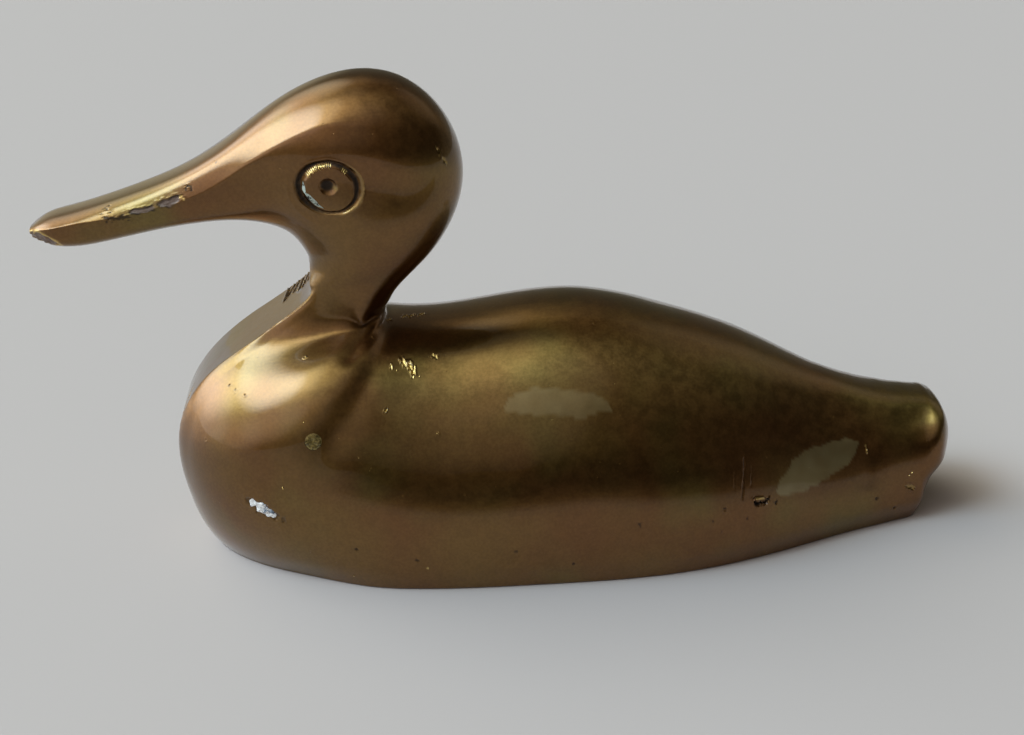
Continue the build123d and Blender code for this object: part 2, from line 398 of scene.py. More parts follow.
def skin_mesh(knots, rows, places, turns, spots):
    """The skin between some places, divided further round the spots, each a
    point, a radius and how often its faces are halved. The mesh keeps each
    vertex's place and turn, so that the new ones lie on the skin as well. For
    each point it also gives the way to its section's flat, and how far that is."""
    bm = bmesh.new()
    layer = {name: bm.verts.layers.float.new(name) for name in (*PLACE_LAYERS, *MARKS)}
    for s, t, p in zip(*skin_grid(knots, rows, places, turns)):
        v = bm.verts.new(p)
        for name, value in zip(PLACE_LAYERS, (s, math.cos(math.pi * t), math.sin(math.pi * t))):
            v[layer[name]] = value
    bm.verts.ensure_lookup_table()
    for quad in grid_faces(len(places), len(turns)):
        bm.faces.new([bm.verts[i] for i in quad])
    for level in range(1, 4):
        wanted = [(np.array(point), radius) for point, radius, times in spots if times >= level]
        if not wanted:
            break
        bm.edges.ensure_lookup_table()
        ends = np.array([[*e.verts[0].co, *e.verts[1].co] for e in bm.edges])
        middle = (ends[:, :3] + ends[:, 3:]) / 2
        near = np.zeros(len(middle), bool)
        for point, radius in wanted:
            near |= ((middle - point) ** 2).sum(axis=1) < (radius * (1 + 0.25 / level)) ** 2
        chosen = [bm.edges[i] for i in np.flatnonzero(near)]
        if chosen:
            bmesh.ops.subdivide_edges(bm, edges=chosen, cuts=1, use_grid_fill=True)
    section, cosine, sine = (np.array([v[layer[name]] for v in bm.verts]) for name in PLACE_LAYERS)
    turn = np.arctan2(sine, cosine) / math.pi
    points = skin_points(knots, rows, section, turn)
    row = np.interp(section, knots, np.arange(len(knots)))
    r = cubic_through(knots, rows, section)
    down = np.column_stack([r[:, 2] - r[:, 0], np.zeros(len(r)), r[:, 3] - r[:, 1]])
    down /= np.linalg.norm(down, axis=1)[:, None]
    behind = ((np.column_stack([r[:, 2], points[:, 1], r[:, 3]]) - points) * down).sum(axis=1)
    normals = skin_normals(knots, rows, section, turn, points)
    return bm, layer, points, normals, row, np.abs(turn), down, behind


def whole_skin(size):
    """Points all over the skin with their outward directions, to lay paths on that cross both castings."""
    rows = skin_rows(size)
    knots = row_knots(rows)
    places = section_places(knots, rows, 0, LAST_ROW, LAYING_STEP)
    grid = skin_grid(knots, rows, places, ring_turns(*LAYING_ROUND_STEPS))
    return grid[2], skin_normals(knots, rows, *grid)


def round_pairs(items):
    """Each item with the next one, and the last with the first."""
    return zip(items, items[1:] + items[:1])


def smooth_step(value, low, high):
    """0 below low, 1 above high, and smooth between."""
    t = np.clip((value - low) / (high - low), 0, 1)
    return t * t * (3 - 2 * t)


def waves(points, wavelength, seed, count=14):
    """A smooth random field of about that wavelength, mostly between -1 and 1."""
    rng = np.random.default_rng(seed)
    direction = rng.normal(size=(count, 3))
    direction /= np.linalg.norm(direction, axis=1)[:, None]
    pitch = 2 * math.pi / (wavelength * rng.uniform(0.75, 1.5, count))
    phase = rng.uniform(0, 2 * math.pi, count)
    return np.cos(points @ (direction * pitch[:, None]).T + phase).sum(axis=1) / math.sqrt(count)


# Sculpting: cuts, dents and wear. Each moves points of the skin in or out, and
# notes what the metal there looks like. All lengths are in millimetres.


def chatter_arc(degrees):
    """Where round the eye the drill chattered: a long arc in front and a short one behind."""
    return (smooth_step(degrees, 82, 85) * (1 - smooth_step(degrees, 146, 150))
            + smooth_step(degrees, 44, 46) * (1 - smooth_step(degrees, 59, 61)))


class Clay:
    """The points of a casting while its details are cut."""

    def __init__(self, size, points, normals, row, turn, down, behind):
        self.base, self.normals, self.row, self.turn, self.size = points, normals, row, turn, size
        self.down, self.behind = down, behind
        self.skin, self.skin_out = whole_skin(size)
        self.points = points.copy()
        self.marks = {name: np.zeros(len(points)) for name in MARKS}

    def shift(self, chosen, amount):
        self.points[chosen] += self.normals[chosen] * amount[:, None]

    def mark(self, name, chosen, amount):
        self.marks[name][chosen] = np.maximum(self.marks[name][chosen], amount)

    def lay(self, path, step=0.12):
        """A path moved onto the skin."""
        path = np.array(path, float)
        dense = [path[:1]]
        for a, b in zip(path, path[1:]):
            count = max(2, int(np.linalg.norm(b - a) / step) + 1)
            dense.append(a + (b - a) * np.linspace(0, 1, count)[1:, None])
        dense = np.concatenate(dense)
        near = np.flatnonzero(((self.skin - dense.mean(axis=0)) ** 2).sum(axis=1)
                              < (np.ptp(dense, axis=0).max() + 3) ** 2)
        gap = ((self.skin[near][:, None, :] - dense[None, :, :]) ** 2).sum(axis=2)
        nearest = near[gap.argmin(axis=0)]
        out = self.skin_out[nearest]
        return dense + out * ((self.skin[nearest] - dense) * out).sum(axis=1)[:, None]

    def distance(self, path, reach):
        """Which points are within reach of a path, and how far they are from it."""
        low, high = path.min(axis=0) - reach, path.max(axis=0) + reach
        near = np.flatnonzero(((self.base > low) & (self.base < high)).all(axis=1))
        if not len(near):
            return near, np.zeros(0)
        gap = np.sqrt(((self.base[near][:, None, :] - path[None, :, :]) ** 2).sum(axis=2).min(axis=1))
        return near[gap < reach], gap[gap < reach]

    def cut(self, path, half_width, depth, ragged=0.0, seed=1, lip=0.0, grit=0.0, rim=0.0, **marks):
        """A cut or gouge along a path. Ragged and grit are shares by which its width and
        its depth vary. It can have a raised lip and a dark rim, and marks name what
        its metal looks like."""
        laid = self.lay(path)
        chosen, gap = self.distance(laid, half_width * 3 + 0.4)
        if not len(chosen):
            return
        here = self.base[chosen]
        gap = gap * (1 + ragged * waves(here, max(0.5, half_width * 1.5), seed))
        inside = 1 - smooth_step(gap, half_width * 0.6, half_width)
        rough = 1 + grit * waves(here, 0.5, seed + 50)
        raised = np.exp(-((gap - half_width * 1.35) / (half_width * 0.4)) ** 2)
        self.shift(chosen, -depth * inside * rough + lip * raised)
        for name, amount in marks.items():
            self.mark(name, chosen, amount * (1 - smooth_step(gap, half_width * 0.8, half_width * 1.05)))
        if rim:
            self.mark("grime", chosen, rim * np.exp(-((gap - half_width * 0.95) / 0.11) ** 2)
                      * np.clip(0.6 + 0.7 * waves(here, 1.3, seed + 70), 0, 1))

    def valley(self, path, width, depth):
        """A soft hollow along a path, deepest halfway."""
        laid = self.lay(path)
        chosen, gap = self.distance(laid, width * 2.5)
        if not len(chosen):
            return
        nearest = ((self.base[chosen][:, None, :] - laid[None, :, :]) ** 2).sum(axis=2).argmin(axis=1)
        swell = np.sin(math.pi * (0.08 + 0.84 * nearest / len(laid))) ** 0.5
        self.shift(chosen, -depth * swell * np.exp(-(gap / width) ** 2))

    def eye(self, side):
        """The ring that a hollow drill cut round the eye, with sloping walls, and the
        punch mark at its middle, with painted shade and painted highlights on their walls."""
        size = self.size
        tilt = size.eye_tilt
        out = np.array([0, side * math.cos(tilt), -math.sin(tilt)])
        up = np.array([0, side * math.sin(tilt), math.cos(tilt)])
        origin = np.array([along_duck(size, EYE_SHARES[0]), side * EYE_FLOOR_SHARE * size.head_width,
                           EYE_SHARES[1] * size.height])
        local = self.base - origin
        across, upward = local[:, 0], local @ up
        chosen = np.flatnonzero((np.hypot(across, upward) < 7.5) & (self.base[:, 1] * side > 3))
        if not len(chosen):
            return
        across, upward, here = across[chosen], upward[chosen], self.base[chosen]
        radius = np.hypot(across, upward)
        angle = np.degrees(np.arctan2(upward, across)) % 360
        # How far outside the ring's outer edge each point is, and how far outside its
        # island, whose edge is toothed where the drill chattered.
        past_outer = (np.hypot(across, upward / size.eye_flatness) - size.eye_diameter / 2
                      + 0.05 * waves(here, 2.5, 11))
        turned = np.degrees(np.arctan2(upward - EYE_ISLAND_SHIFT[1], across - EYE_ISLAND_SHIFT[0])) % 360
        inner = size.eye_island / 2
        ticks = chatter_arc(turned) * ((np.radians(turned) * inner / size.chatter_pitch) % 1.0 < 0.45)
        past_inner = (np.hypot(across - EYE_ISLAND_SHIFT[0], upward - EYE_ISLAND_SHIFT[1]) - inner
                      + 0.16 * ticks + 0.03 * waves(here, 1.5, 12))
        # From the island, 0, to the outer edge, 1. The groove has sloping walls, is
        # deepest on the left and is fainter below.
        share = np.clip(past_inner / np.maximum(past_inner - past_outer, 0.05), 0, 1)
        left = smooth_step(-across, -1.5, 1.5)
        wall_share = 0.42
        groove = np.minimum(1, np.minimum(share, 1 - share) / wall_share)
        faint = smooth_step(turned, 225, 255) * (1 - smooth_step(turned, 285, 315))
        depth = groove * (0.44 + 0.16 * left + 0.04 * waves(here, 0.7, 13)) * (1 - 0.4 * faint)
        # A raised lip at the right, and a faint swirl at the lower left.
        lip_arc = 1 - smooth_step(np.abs((angle + 12 + 180) % 360 - 180), 40, 75)
        lip = (0.015 + 0.045 * lip_arc) * (1 + 0.4 * waves(here, 0.8, 14))
        lip *= np.exp(-((past_outer - 0.16) / 0.13) ** 2)
        swirl_arc = smooth_step(angle, 165, 180) * (1 - smooth_step(angle, 235, 255))
        swirl = 0.07 * swirl_arc * np.exp(-((radius - 5.5 - (angle - 170) * 0.004) / 0.28) ** 2)
        punch = size.eye_punch_diameter / 2
        from_punch = np.hypot(across - EYE_PUNCH_SHIFT[0], upward - EYE_PUNCH_SHIFT[1])
        dimple = 0.62 * np.maximum(0, 1 - (from_punch / punch) ** 2)
        self.points[chosen] += out * (lip + swirl - depth - dimple)[:, None]
        # Painted shade in the groove, on the walls that face away from the light, and a dark punch mark,
        # partly tarnish and partly painted shade shifted to its left side.
        dark = left * smooth_step(share, 0.30, 0.50) + (1 - left) * (1 - smooth_step(share, 0.50, 0.72))
        self.mark("grime", chosen, smooth_step(groove, 0.1, 0.6) * dark
                  * (0.95 - 0.12 * np.abs(waves(here, 0.9, 15))) * (1 - 0.45 * faint))
        self.mark("grime", chosen, 0.9 * (1 - smooth_step(np.hypot(across + 0.15, upward - 0.32), 0.62, 1.0)))
        # Painted highlights: on the island's lit upper left wall between the chatter teeth, partly bared
        # metal as well; on the outer wall at the right, which faces the light; and on the punch mark's lit
        # right side.
        self.mark("fresh", chosen, 0.9 * chatter_arc(turned) * smooth_step(share, 0.02, 0.1) * (1 - ticks)
                  * (1 - smooth_step(share, 0.25, 0.4)))
        self.mark("fresh", chosen, 0.22 * lip_arc * smooth_step(share, 0.74, 0.86) * (past_outer < 0.25))
        self.mark("fresh", chosen, 0.5 * np.exp(-((np.hypot(across - 0.98, upward - 0.02)) / 0.30) ** 2))

    def file_bill_edges(self):
        """The bill and brow were filed to a sloping face on each side, which ends in an edge. The
        tables give, for rows of the skin, the turn of that edge and how far it stands out."""
        along = smooth_step(self.row, 0.7, 1.7) * (1 - smooth_step(self.row, 6.4, 8.2))
        edge = np.interp(self.row, (1.5, 2.3, 3.2, 4.0, 4.7, 5.4, 7.0),
                         (0.32, 0.30, 0.35, 0.375, 0.355, 0.315, 0.275))
        height = np.interp(self.row, (1, 4, 6), (0.24, 0.30, 0.45))
        face = np.clip((self.turn - edge) / 0.27 + 1, 0, 1)
        below = np.clip((self.turn - edge) / 0.12, 0, 1)
        profile = (3.08 * face ** 3 - 2.08 * face ** 2) * (1 - below) ** 1.5
        self.shift(np.arange(len(self.base)), along * height * profile)

    def widen_strip(self):
        """The flat strip down the front of the neck was filed a little wider than it was cast, and
        metal was left where the throat meets it."""
        along = smooth_step(self.row, 10.6, 11.8) * (1 - smooth_step(self.row, 15.6, 17.2))
        most = 0.45
        push = np.where(self.behind < most, self.behind, most * (1 - smooth_step(self.behind, most, 2.4)))
        push = np.where(self.turn < LOWER_TURN, push, 0) * along
        self.points += self.down * push[:, None]
        throat = np.exp(-((self.base[:, 2] - 41.5) / 2.6) ** 2) * smooth_step(self.turn, 0.55, 0.90)
        throat *= smooth_step(-self.base[:, 0], 22.0, 26.0)
        self.points += self.down * (1.0 * throat)[:, None]

    def file_tail(self):
        """The flanks lean in a little and the tail's sides more. Each side of the tail
        was filed to a face that starts at a soft crease, its top was filed level,
        and its end was cut back near the table."""
        x, z = self.base[:, 0], self.base[:, 2]
        side = smooth_step(np.abs(self.normals[:, 1]), 0.35, 0.8)
        along = smooth_step(x, -44, -30) * (1 - smooth_step(x, 62.0, 64.5))
        slope = np.interp(x, (-44, -34, 20, 38, 50), (0, 0.035, 0.035, 0.085, 0.10))
        lean = along * side * slope * np.clip(10.5 - z, -7, 7) * smooth_step(z, -0.5, 4.0)
        crease = -0.22 * np.exp(-np.abs(x - 52.9) / 3.0) * side
        crease *= smooth_step(z, 5.5, 8.5) * (1 - smooth_step(z, 15, 17))
        over = np.interp(x, (46, 52, 57, 60.5, 63, 65, 66.5), (0, 0.28, 0.32, 0, -0.45, -0.45, -0.2))
        over *= smooth_step(self.normals[:, 2], 0.4, 0.9)
        self.shift(np.arange(len(self.base)), lean + crease + over)
        end = smooth_step(x, 60.5, 65.0) * (1 - smooth_step(z, 6.0, 9.5))
        self.points[:, 0] -= 1.25 * end


# Flaws along the bill's edge: the points that each passes through, half width, depth,
# how ragged it is, lip, grit, rim, and what the metal shows how strongly.
BILL_FLAWS = [
    ([(-51.7, -4.4, 52.25), (-50.3, -4.5, 52.35), (-49.1, -4.55, 52.75)],
     0.34, 0.14, 0.18, 0.03, 0.2, 0.95, "oxide", 0.85),
    ([(-47.7, -4.55, 53.25), (-46.6, -4.65, 53.5), (-45.7, -4.75, 54.0)],
     0.50, 0.18, 0.22, 0.05, 0.2, 0.95, "oxide", 0.9),
    ([(-55.4, -4.3, 51.35), (-53.9, -4.4, 51.35), (-52.4, -4.45, 51.6)],
     0.20, 0.08, 0.6, 0.03, 0.4, 0, "grime", 0.7),
    ([(-55.5, -3.4, 52.5), (-55.3, -3.8, 52.3)], 0.16, 0.10, 0.6, 0.03, 0, 0, "grime", 0.6),
    ([(-44.4, -4.5, 55.1), (-44.1, -4.4, 55.7), (-43.7, -4.45, 55.6), (-43.6, -4.65, 55.1)],
     0.12, 0.09, 0.2, 0.05, 0, 0, "grime", 0.75),
    ([(-45.2, -4.75, 54.3), (-44.7, -4.8, 54.1)], 0.20, 0.10, 0.4, 0.05, 0, 0, "fresh", 0.7),
]


def bill_details(clay):
    """Flaws along the bill's edge, and the rough facet that was filed at its tip."""
    for i, (path, half_width, depth, ragged, lip, grit, rim, mark, amount) in enumerate(BILL_FLAWS):
        clay.cut(path, half_width, depth, ragged, 21 + i, lip, grit, rim, **{mark: amount})
    normal = np.array([-0.52, -0.62, -0.59])
    normal /= np.linalg.norm(normal)
    place = np.array([-63.7, -3.2, 48.1])
    chosen = np.flatnonzero(clay.base[:, 0] < -58)
    if len(chosen):
        here = clay.base[chosen]
        above = (clay.points[chosen] - place) @ normal + 0.10 * waves(here, 1.1, 27)
        inside = smooth_step(above, -0.05, 0.10)
        bumps = 0.05 * waves(here, 0.6, 28) * inside
        clay.points[chosen] -= normal * (np.maximum(above, 0) - bumps)[:, None]
        clay.mark("oxide", chosen, inside * np.clip(0.75 + 0.5 * waves(here, 0.8, 29), 0, 1))
        clay.mark("fresh", chosen, np.exp(-((above + 0.06) / 0.12) ** 2) * 0.8)


# Where the deep file cuts begin and end on the front of the neck.
FILE_CUTS = [(-28.4, 3.2, 43.4), (-33.4, 3.4, 36.4)]


def file_cut_places(size):
    """The middle of each deep file cut, and the way from one to the next."""
    start, end = np.array(FILE_CUTS)
    run = np.linalg.norm(end - start)
    count = int(run / size.file_pitch) + 1
    return [start + (end - start) * i * size.file_pitch / run for i in range(count)], (end - start) / run


def neck_details(clay):
    """The file's cuts down the front of the neck, and the fold behind it."""
    middles, downward = file_cut_places(clay.size)
    for i, middle in enumerate(middles):
        slant = downward * (0.55 + 0.15 * math.sin(i * 2.1))
        clay.cut([middle + (0, 1.8, 0) - slant, middle - (0, 1.6 + 0.6 * math.sin(i * 1.7), 0) + slant],
                 0.24, 0.30, 0.2, 31 + i, 0.05, grime=0.95)
    for i in range(11):
        middle = np.array([-46.6, -2.0, 23.9]) * (1 - i / 10) + np.array([-48.1, -4.0, 20.2]) * i / 10
        clay.cut([middle + (0.25, 0.6, 0.4), middle - (0.1, 0.5, 0.4)], 0.12, 0.06, 0.3, 51 + i, 0.03,
                 **({"fresh": 0.6} if i % 2 else {"grime": 0.35}))
    for side in (-1, 1):
        clay.valley([(-18.1, side * 1.5, 35.2), (-18.9, side * 4.0, 35.6), (-20.3, side * 6.2, 35.1),
                     (-22.2, side * 8.6, 33.7), (-23.6, side * 10.8, 32.3)], 1.1, 0.55)


# Small marks on the castings: the points that each passes through, half width,
# depth, lip, and what the metal shows how strongly.
BODY_MARKS = [
    ([(-16.2, -9.9, 31.0), (-15.9, -10.5, 30.6)], 0.22, 0.16, 0.08, "fresh", 1.0),
    ([(-15.3, -10.2, 31.0), (-15.1, -11.0, 30.4)], 0.26, 0.20, 0.10, "fresh", 1.0),
    ([(-14.7, -10.9, 30.4), (-14.8, -11.7, 29.8)], 0.20, 0.14, 0.08, "fresh", 1.0),
    ([(-17.9, -10.6, 30.6), (-17.8, -11.1, 30.3)], 0.12, 0.08, 0.05, "fresh", 0.8),
    ([(-11.9, -9.5, 31.8), (-11.4, -9.8, 31.7)], 0.14, 0.08, 0.04, "fresh", 0.6),
    ([(-15.9, -1.0, 33.8), (-15.4, -0.4, 33.8)], 0.16, 0.12, 0.08, "fresh", 0.7),
    ([(-14.9, -0.8, 33.8), (-14.2, -0.2, 33.8)], 0.18, 0.12, 0.08, "fresh", 0.7),
    ([(-13.5, -0.4, 33.8), (-12.8, 0.1, 33.8)], 0.16, 0.10, 0.08, "fresh", 0.7),
    ([(-18.0, -1.9, 33.9), (-17.6, -1.4, 33.9)], 0.16, 0.12, 0.06, "fresh", 0.5),
    ([(-29.7, -10.0, 32.2)], 0.16, 0.10, 0.08, "fresh", 0.9),
    ([(-18.9, -15.7, 26.2), (-18.6, -15.8, 26.5)], 0.14, 0.10, 0.08, "fresh", 1.0),
    ([(-11.7, -17.2, 23.2)], 0.14, 0.06, 0.05, "fresh", 0.5),
    ([(33.7, -17.2, 9.75), (34.2, -17.1, 9.35), (35.0, -16.9, 9.25), (35.8, -16.6, 9.6)], 0.24, 0.42, 0.10,
     "grime", 1.0),
    ([(34.0, -17.1, 10.25), (35.1, -16.8, 10.15)], 0.16, -0.10, 0.0, "fresh", 0.8),
    ([(37.05, -16.2, 8.85)], 0.22, 0.16, 0.03, "grime", 0.9),
    ([(32.2, -16.1, 16.6), (31.9, -17.0, 13.2), (31.7, -17.6, 10.9)], 0.13, 0.10, 0.03, "grime", 0.35),
    ([(33.3, -16.1, 15.2), (33.1, -16.8, 12.4)], 0.11, 0.06, 0.03, "grime", 0.2),
    ([(30.6, -17.2, 14.6), (30.5, -17.6, 12.6)], 0.11, 0.05, 0.02, "grime", 0.2),
    ([(52.6, -9.2, 13.6), (52.65, -9.3, 12.5)], 0.14, -0.08, 0.0, "fresh", 0.9),
    ([(-23.6, -20.3, 7.0)], 0.24, 0.16, 0.03, "grime", 0.7),
    ([(-15.1, -21.2, 5.2)], 0.20, 0.12, 0.03, "grime", 0.6),
    ([(-13.7, -21.2, 4.0)], 0.16, -0.06, 0.0, "fresh", 0.8),
    ([(-1.2, -21.5, 6.15)], 0.22, 0.14, 0.03, "grime", 0.6),
    ([(6.9, -21.4, 3.6)], 0.22, 0.14, 0.03, "grime", 0.7),
    ([(16.4, -20.9, 9.1)], 0.20, 0.12, 0.03, "grime", 0.7),
    ([(57.4, -9.2, 3.0)], 0.24, 0.16, 0.04, "grime", 0.7),
    ([(54.2, -10.1, 5.3)], 0.26, 0.12, 0.04, "grime", 0.7),
    ([(59.5, -8.8, 6.3), (60.4, -8.5, 5.9)], 0.34, 0.12, 0.06, "fresh", 0.3),
    ([(-44.1, -11.3, 20.5)], 0.18, 0.06, 0.02, "grime", 0.15),
    ([(-40.4, -9.0, 27.8)], 0.18, 0.06, 0.02, "grime", 0.2),
    ([(-38.2, -11.5, 27.4)], 0.18, 0.06, 0.02, "grime", 0.15),
    ([(-39.6, -10.2, 27.6)], 0.15, 0.05, 0.02, "grime", 0.15),
    ([(29.0, -18.6, 9.75)], 0.20, 0.14, 0.03, "grime", 0.7),
    ([(32.5, -17.9, 7.6)], 0.18, 0.12, 0.03, "grime", 0.6),
    ([(27.2, -19.2, 8.1)], 0.17, 0.10, 0.03, "grime", 0.6),
    ([(28.6, -19.0, 6.4)], 0.18, 0.12, 0.03, "grime", 0.6),
    # The left side, which no photograph shows, has a few knocks of the same kind.
    ([(12.3, 20.8, 10.2), (12.9, 20.7, 9.8)], 0.20, 0.14, 0.05, "grime", 0.6),
    ([(-22.4, 19.6, 12.6)], 0.22, 0.14, 0.03, "grime", 0.6),
    ([(27.5, 18.6, 8.4), (28.6, 18.3, 8.9)], 0.14, 0.08, 0.03, "grime", 0.4),
    ([(-8.2, 18.6, 20.6), (-7.6, 18.8, 20.2)], 0.14, 0.08, 0.05, "fresh", 0.8),
    ([(44.0, 12.6, 11.4)], 0.20, 0.12, 0.03, "grime", 0.6),
    ([(-37.4, 15.8, 18.2)], 0.18, 0.10, 0.03, "grime", 0.5),
]
HEAD_MARKS = [
    ([(-10.6, -6.4, 60.8), (-10.0, -6.3, 60.0)], 0.16, 0.08, 0.05, "fresh", 0.5),
    ([(-9.6, -6.2, 59.2), (-9.1, -5.9, 58.2)], 0.16, 0.08, 0.05, "fresh", 0.5),
    ([(-30.8, 9.0, 52.0)], 0.16, 0.08, 0.03, "grime", 0.5),
    ([(-14.0, 7.9, 62.0), (-13.4, 7.6, 61.4)], 0.14, 0.07, 0.03, "fresh", 0.5),
]
# Where the filler lies in the breast, and the dried polish in the right eye's groove.
CHIP = [(-38.3, -16.6, 13.4), (-37.2, -17.0, 12.9), (-36.0, -17.4, 12.1), (-34.7, -17.9, 11.4)]
EYE_POLISH = [(-28.9, -8.7, 57.2), (-28.6, -8.7, 56.0), (-27.9, -8.8, 55.0), (-27.0, -8.8, 54.1),
              (-26.0, -8.8, 53.4)]


# Two painted reflections of a window, pale greenish patches on the right flank and on the tail:
# how strong each is, and its corners seen from the side.
WINDOW_REFLECTION_PATCHES = [
    (0.62, [(-2.6, 25.7), (-1.7, 27.2), (-0.3, 27.9), (2.2, 28.3), (5.5, 28.2), (9.9, 27.6), (12.1, 26.4),
            (12.7, 25.1), (10.6, 25.2), (8.7, 24.4), (6.0, 25.1), (3.4, 25.1), (0.2, 25.3)]),
    (1.0, [(37.0, 10.4), (38.0, 12.1), (38.9, 12.9), (40.0, 14.3), (42.0, 15.0), (44.7, 15.1), (49.2, 15.2),
           (51.4, 14.2), (50.9, 12.9), (49.3, 11.4), (44.4, 9.9), (41.2, 9.3), (38.6, 9.6)]),
]


def depth_inside(points, corners):
    """How far inside an outline the points lie, seen from the side. It is negative outside."""
    x, z = points[:, 0], points[:, 2]
    nearest, inside = np.full(len(points), np.inf), np.zeros(len(points), bool)
    for (ax, az), (bx, bz) in round_pairs(corners):
        dx, dz = bx - ax, bz - az
        share = np.clip(((x - ax) * dx + (z - az) * dz) / (dx ** 2 + dz ** 2), 0, 1)
        nearest = np.minimum(nearest, np.hypot(x - ax - share * dx, z - az - share * dz))
        if dz:
            inside ^= ((az > z) != (bz > z)) & (x < dx * (z - az) / dz + ax)
    return np.where(inside, nearest, -nearest)


def spot_for(path, half_width, times):
    """Where the mesh is divided further, so that it can hold a mark."""
    path = np.array(path, float)
    steps = [path[0]]
    for a, b in zip(path, path[1:]):
        count = max(2, int(np.linalg.norm(b - a) / 0.8) + 1)
        steps.extend(a + (b - a) * t for t in np.linspace(0, 1, count)[1:])
    return [(p, half_width * 2 + 0.6, times) for p in steps]


def shape_skin(clay):
    """All that was cut into the castings, from the widest waves to the smallest marks."""
    size = clay.size
    seed = size.seed
    wave = waves(clay.base, 10.0, seed) + 0.15 * waves(clay.base, 4.2, seed + 1)
    everything = np.arange(len(clay.base))
    clay.shift(everything, size.undulation * wave)
    clay.file_bill_edges()
    clay.widen_strip()
    clay.file_tail()
    clay.eye(-1)
    clay.eye(1)
    bill_details(clay)
    neck_details(clay)
    for i, (path, half_width, depth, lip, mark, amount) in enumerate(BODY_MARKS + HEAD_MARKS):
        clay.cut(path, half_width, depth, 0.3, 100 + i, lip, 0.25, **{mark: amount})
    clay.cut(CHIP, 0.75, 0.16, 0.35, 71, 0.03, 0.3, grime=0.3)
    # Painted reflections of a window, as two pale greenish patches with ragged edges on the right flank and
    # the tail.
    right = np.flatnonzero((clay.base[:, 1] < -5) & (clay.base[:, 0] > -6))
    if len(right):
        here = clay.base[right]
        uneven = 0.08 * waves(here, 2.2, 81)
        for density, corners in WINDOW_REFLECTION_PATCHES:
            painted_reflection = smooth_step(depth_inside(here, corners) + uneven, -0.10, 0.12)
            clay.mark("haze", right, density * painted_reflection * (0.88 + 0.10 * waves(here, 3.0, 82)))


# Closing the castings.


def boundary_loops(bm, test):
    """The rings of open edges whose points all pass the test, each as its vertices in order."""
    edges = dict.fromkeys(e for e in bm.edges if e.is_boundary and all(test(v) for v in e.verts))
    loops = []
    while edges:
        edge, _ = edges.popitem()
        start, here = edge.verts
        loop = [start, here]
        while here is not start:
            step = next((e for e in here.link_edges if e in edges), None)
            if step is None:
                break
            del edges[step]
            here = step.other_vert(here)
            if here is not start:
                loop.append(here)
        loops.append(loop)
    return sorted(loops, key=len, reverse=True)


def join_rings(bm, first, second):
    for (a, b), (c, d) in zip(round_pairs(first), round_pairs(second)):
        bm.faces.new([a, b, d, c])


def stretch_ring(bm, loop, places):
    """A new ring at the places, joined to the loop."""
    ring = [bm.verts.new(p) for p in places]
    join_rings(bm, loop, ring)
    return ring


def close_with_dome(bm, loop, outward, bulge, steps):
    """Closes an open end with a shallow dome."""
    middle = sum((v.co for v in loop), Vector()) / len(loop)
    start = [v.co.copy() for v in loop]
    ring = loop
    for k in range(1, steps):
        reach = 1 - k / steps
        rise = outward * bulge * (1 - reach ** 2)
        ring = stretch_ring(bm, ring, [middle + (p - middle) * reach + rise for p in start])
    pole = bm.verts.new(middle + outward * bulge)
    for a, b in round_pairs(ring):
        bm.faces.new([a, b, pole])


def cut_off(bm, place, direction):
    """Takes away what lies beyond a plane."""
    bmesh.ops.bisect_plane(bm, geom=bm.verts[:] + bm.edges[:] + bm.faces[:], dist=1e-4, plane_co=place,
                           plane_no=direction, clear_outer=True)


def circle_points(middle, first, second, radius, count):
    return [middle + (first * math.cos(a) + second * math.sin(a)) * radius
            for a in (2 * math.pi * i / count for i in range(count))]


def ring_of_edges(bm, points):
    ring = [bm.verts.new(p) for p in points]
    for pair in round_pairs(ring):
        bm.edges.new(pair)
    return ring


def fill_between(bm, loops, normal):
    """Fills the flat face between two loops."""
    edges = [bm.edges.get(pair) or bm.edges.new(pair) for loop in loops for pair in round_pairs(loop)]
    bmesh.ops.triangle_fill(bm, use_beauty=True, edges=edges, normal=normal)


# The way across the duck, towards its left, and the corners that a bore or a spigot has.
ACROSS = Vector((0, 1, 0))
BORE_STEPS = 64


def root_of_neck(size):
    """The middle of the plane where the castings meet, its direction towards the
    breast and its upward normal."""
    row = skin_rows(size)[ROOT_ROW]
    top, low = Vector((row[0], 0, row[1])), Vector((row[2], 0, row[3]))
    along = (low - top).normalized()
    return (top + low) / 2, along, ACROSS.cross(along)


def finish_mesh(bm, name):
    """Turns a mesh in millimetres into a piece at the origin, in metres."""
    bmesh.ops.remove_doubles(bm, verts=bm.verts, dist=MERGE_DISTANCE)
    bmesh.ops.recalc_face_normals(bm, faces=bm.faces)
    bmesh.ops.scale(bm, vec=(MM, MM, MM), verts=bm.verts)
    mesh = bpy.data.meshes.new(name)
    for layer_name in PLACE_LAYERS:
        layer = bm.verts.layers.float.get(layer_name)
        if layer:
            bm.verts.layers.float.remove(layer)
    bm.to_mesh(mesh)
    bm.free()
    mesh.set_sharp_from_angle(angle=EDGE_ANGLE)
    return add_object(name, mesh)


def add_object(name, data):
    """A new object in the scene."""
    made = bpy.data.objects.new(name, data)
    bpy.context.scene.collection.objects.link(made)
    return made


def carved_skin(size, first, last, step, joint_end, spots):
    """The skin from one row to another with its details, divided further round the spots."""
    rows = skin_rows(size)
    knots = row_knots(rows)
    places = closer_at(section_places(knots, rows, first, last, step), joint_end)
    bm, layer, *skin = skin_mesh(knots, rows, places, ring_turns(*ROUND_STEPS), spots)
    clay = Clay(size, *skin)
    shape_skin(clay)
    for v, point in zip(bm.verts, clay.points):
        v.co = point
    for name in MARKS:
        for v, value in zip(bm.verts, np.clip(clay.marks[name], 0, 1)):
            v[layer[name]] = value
    return bm, layer


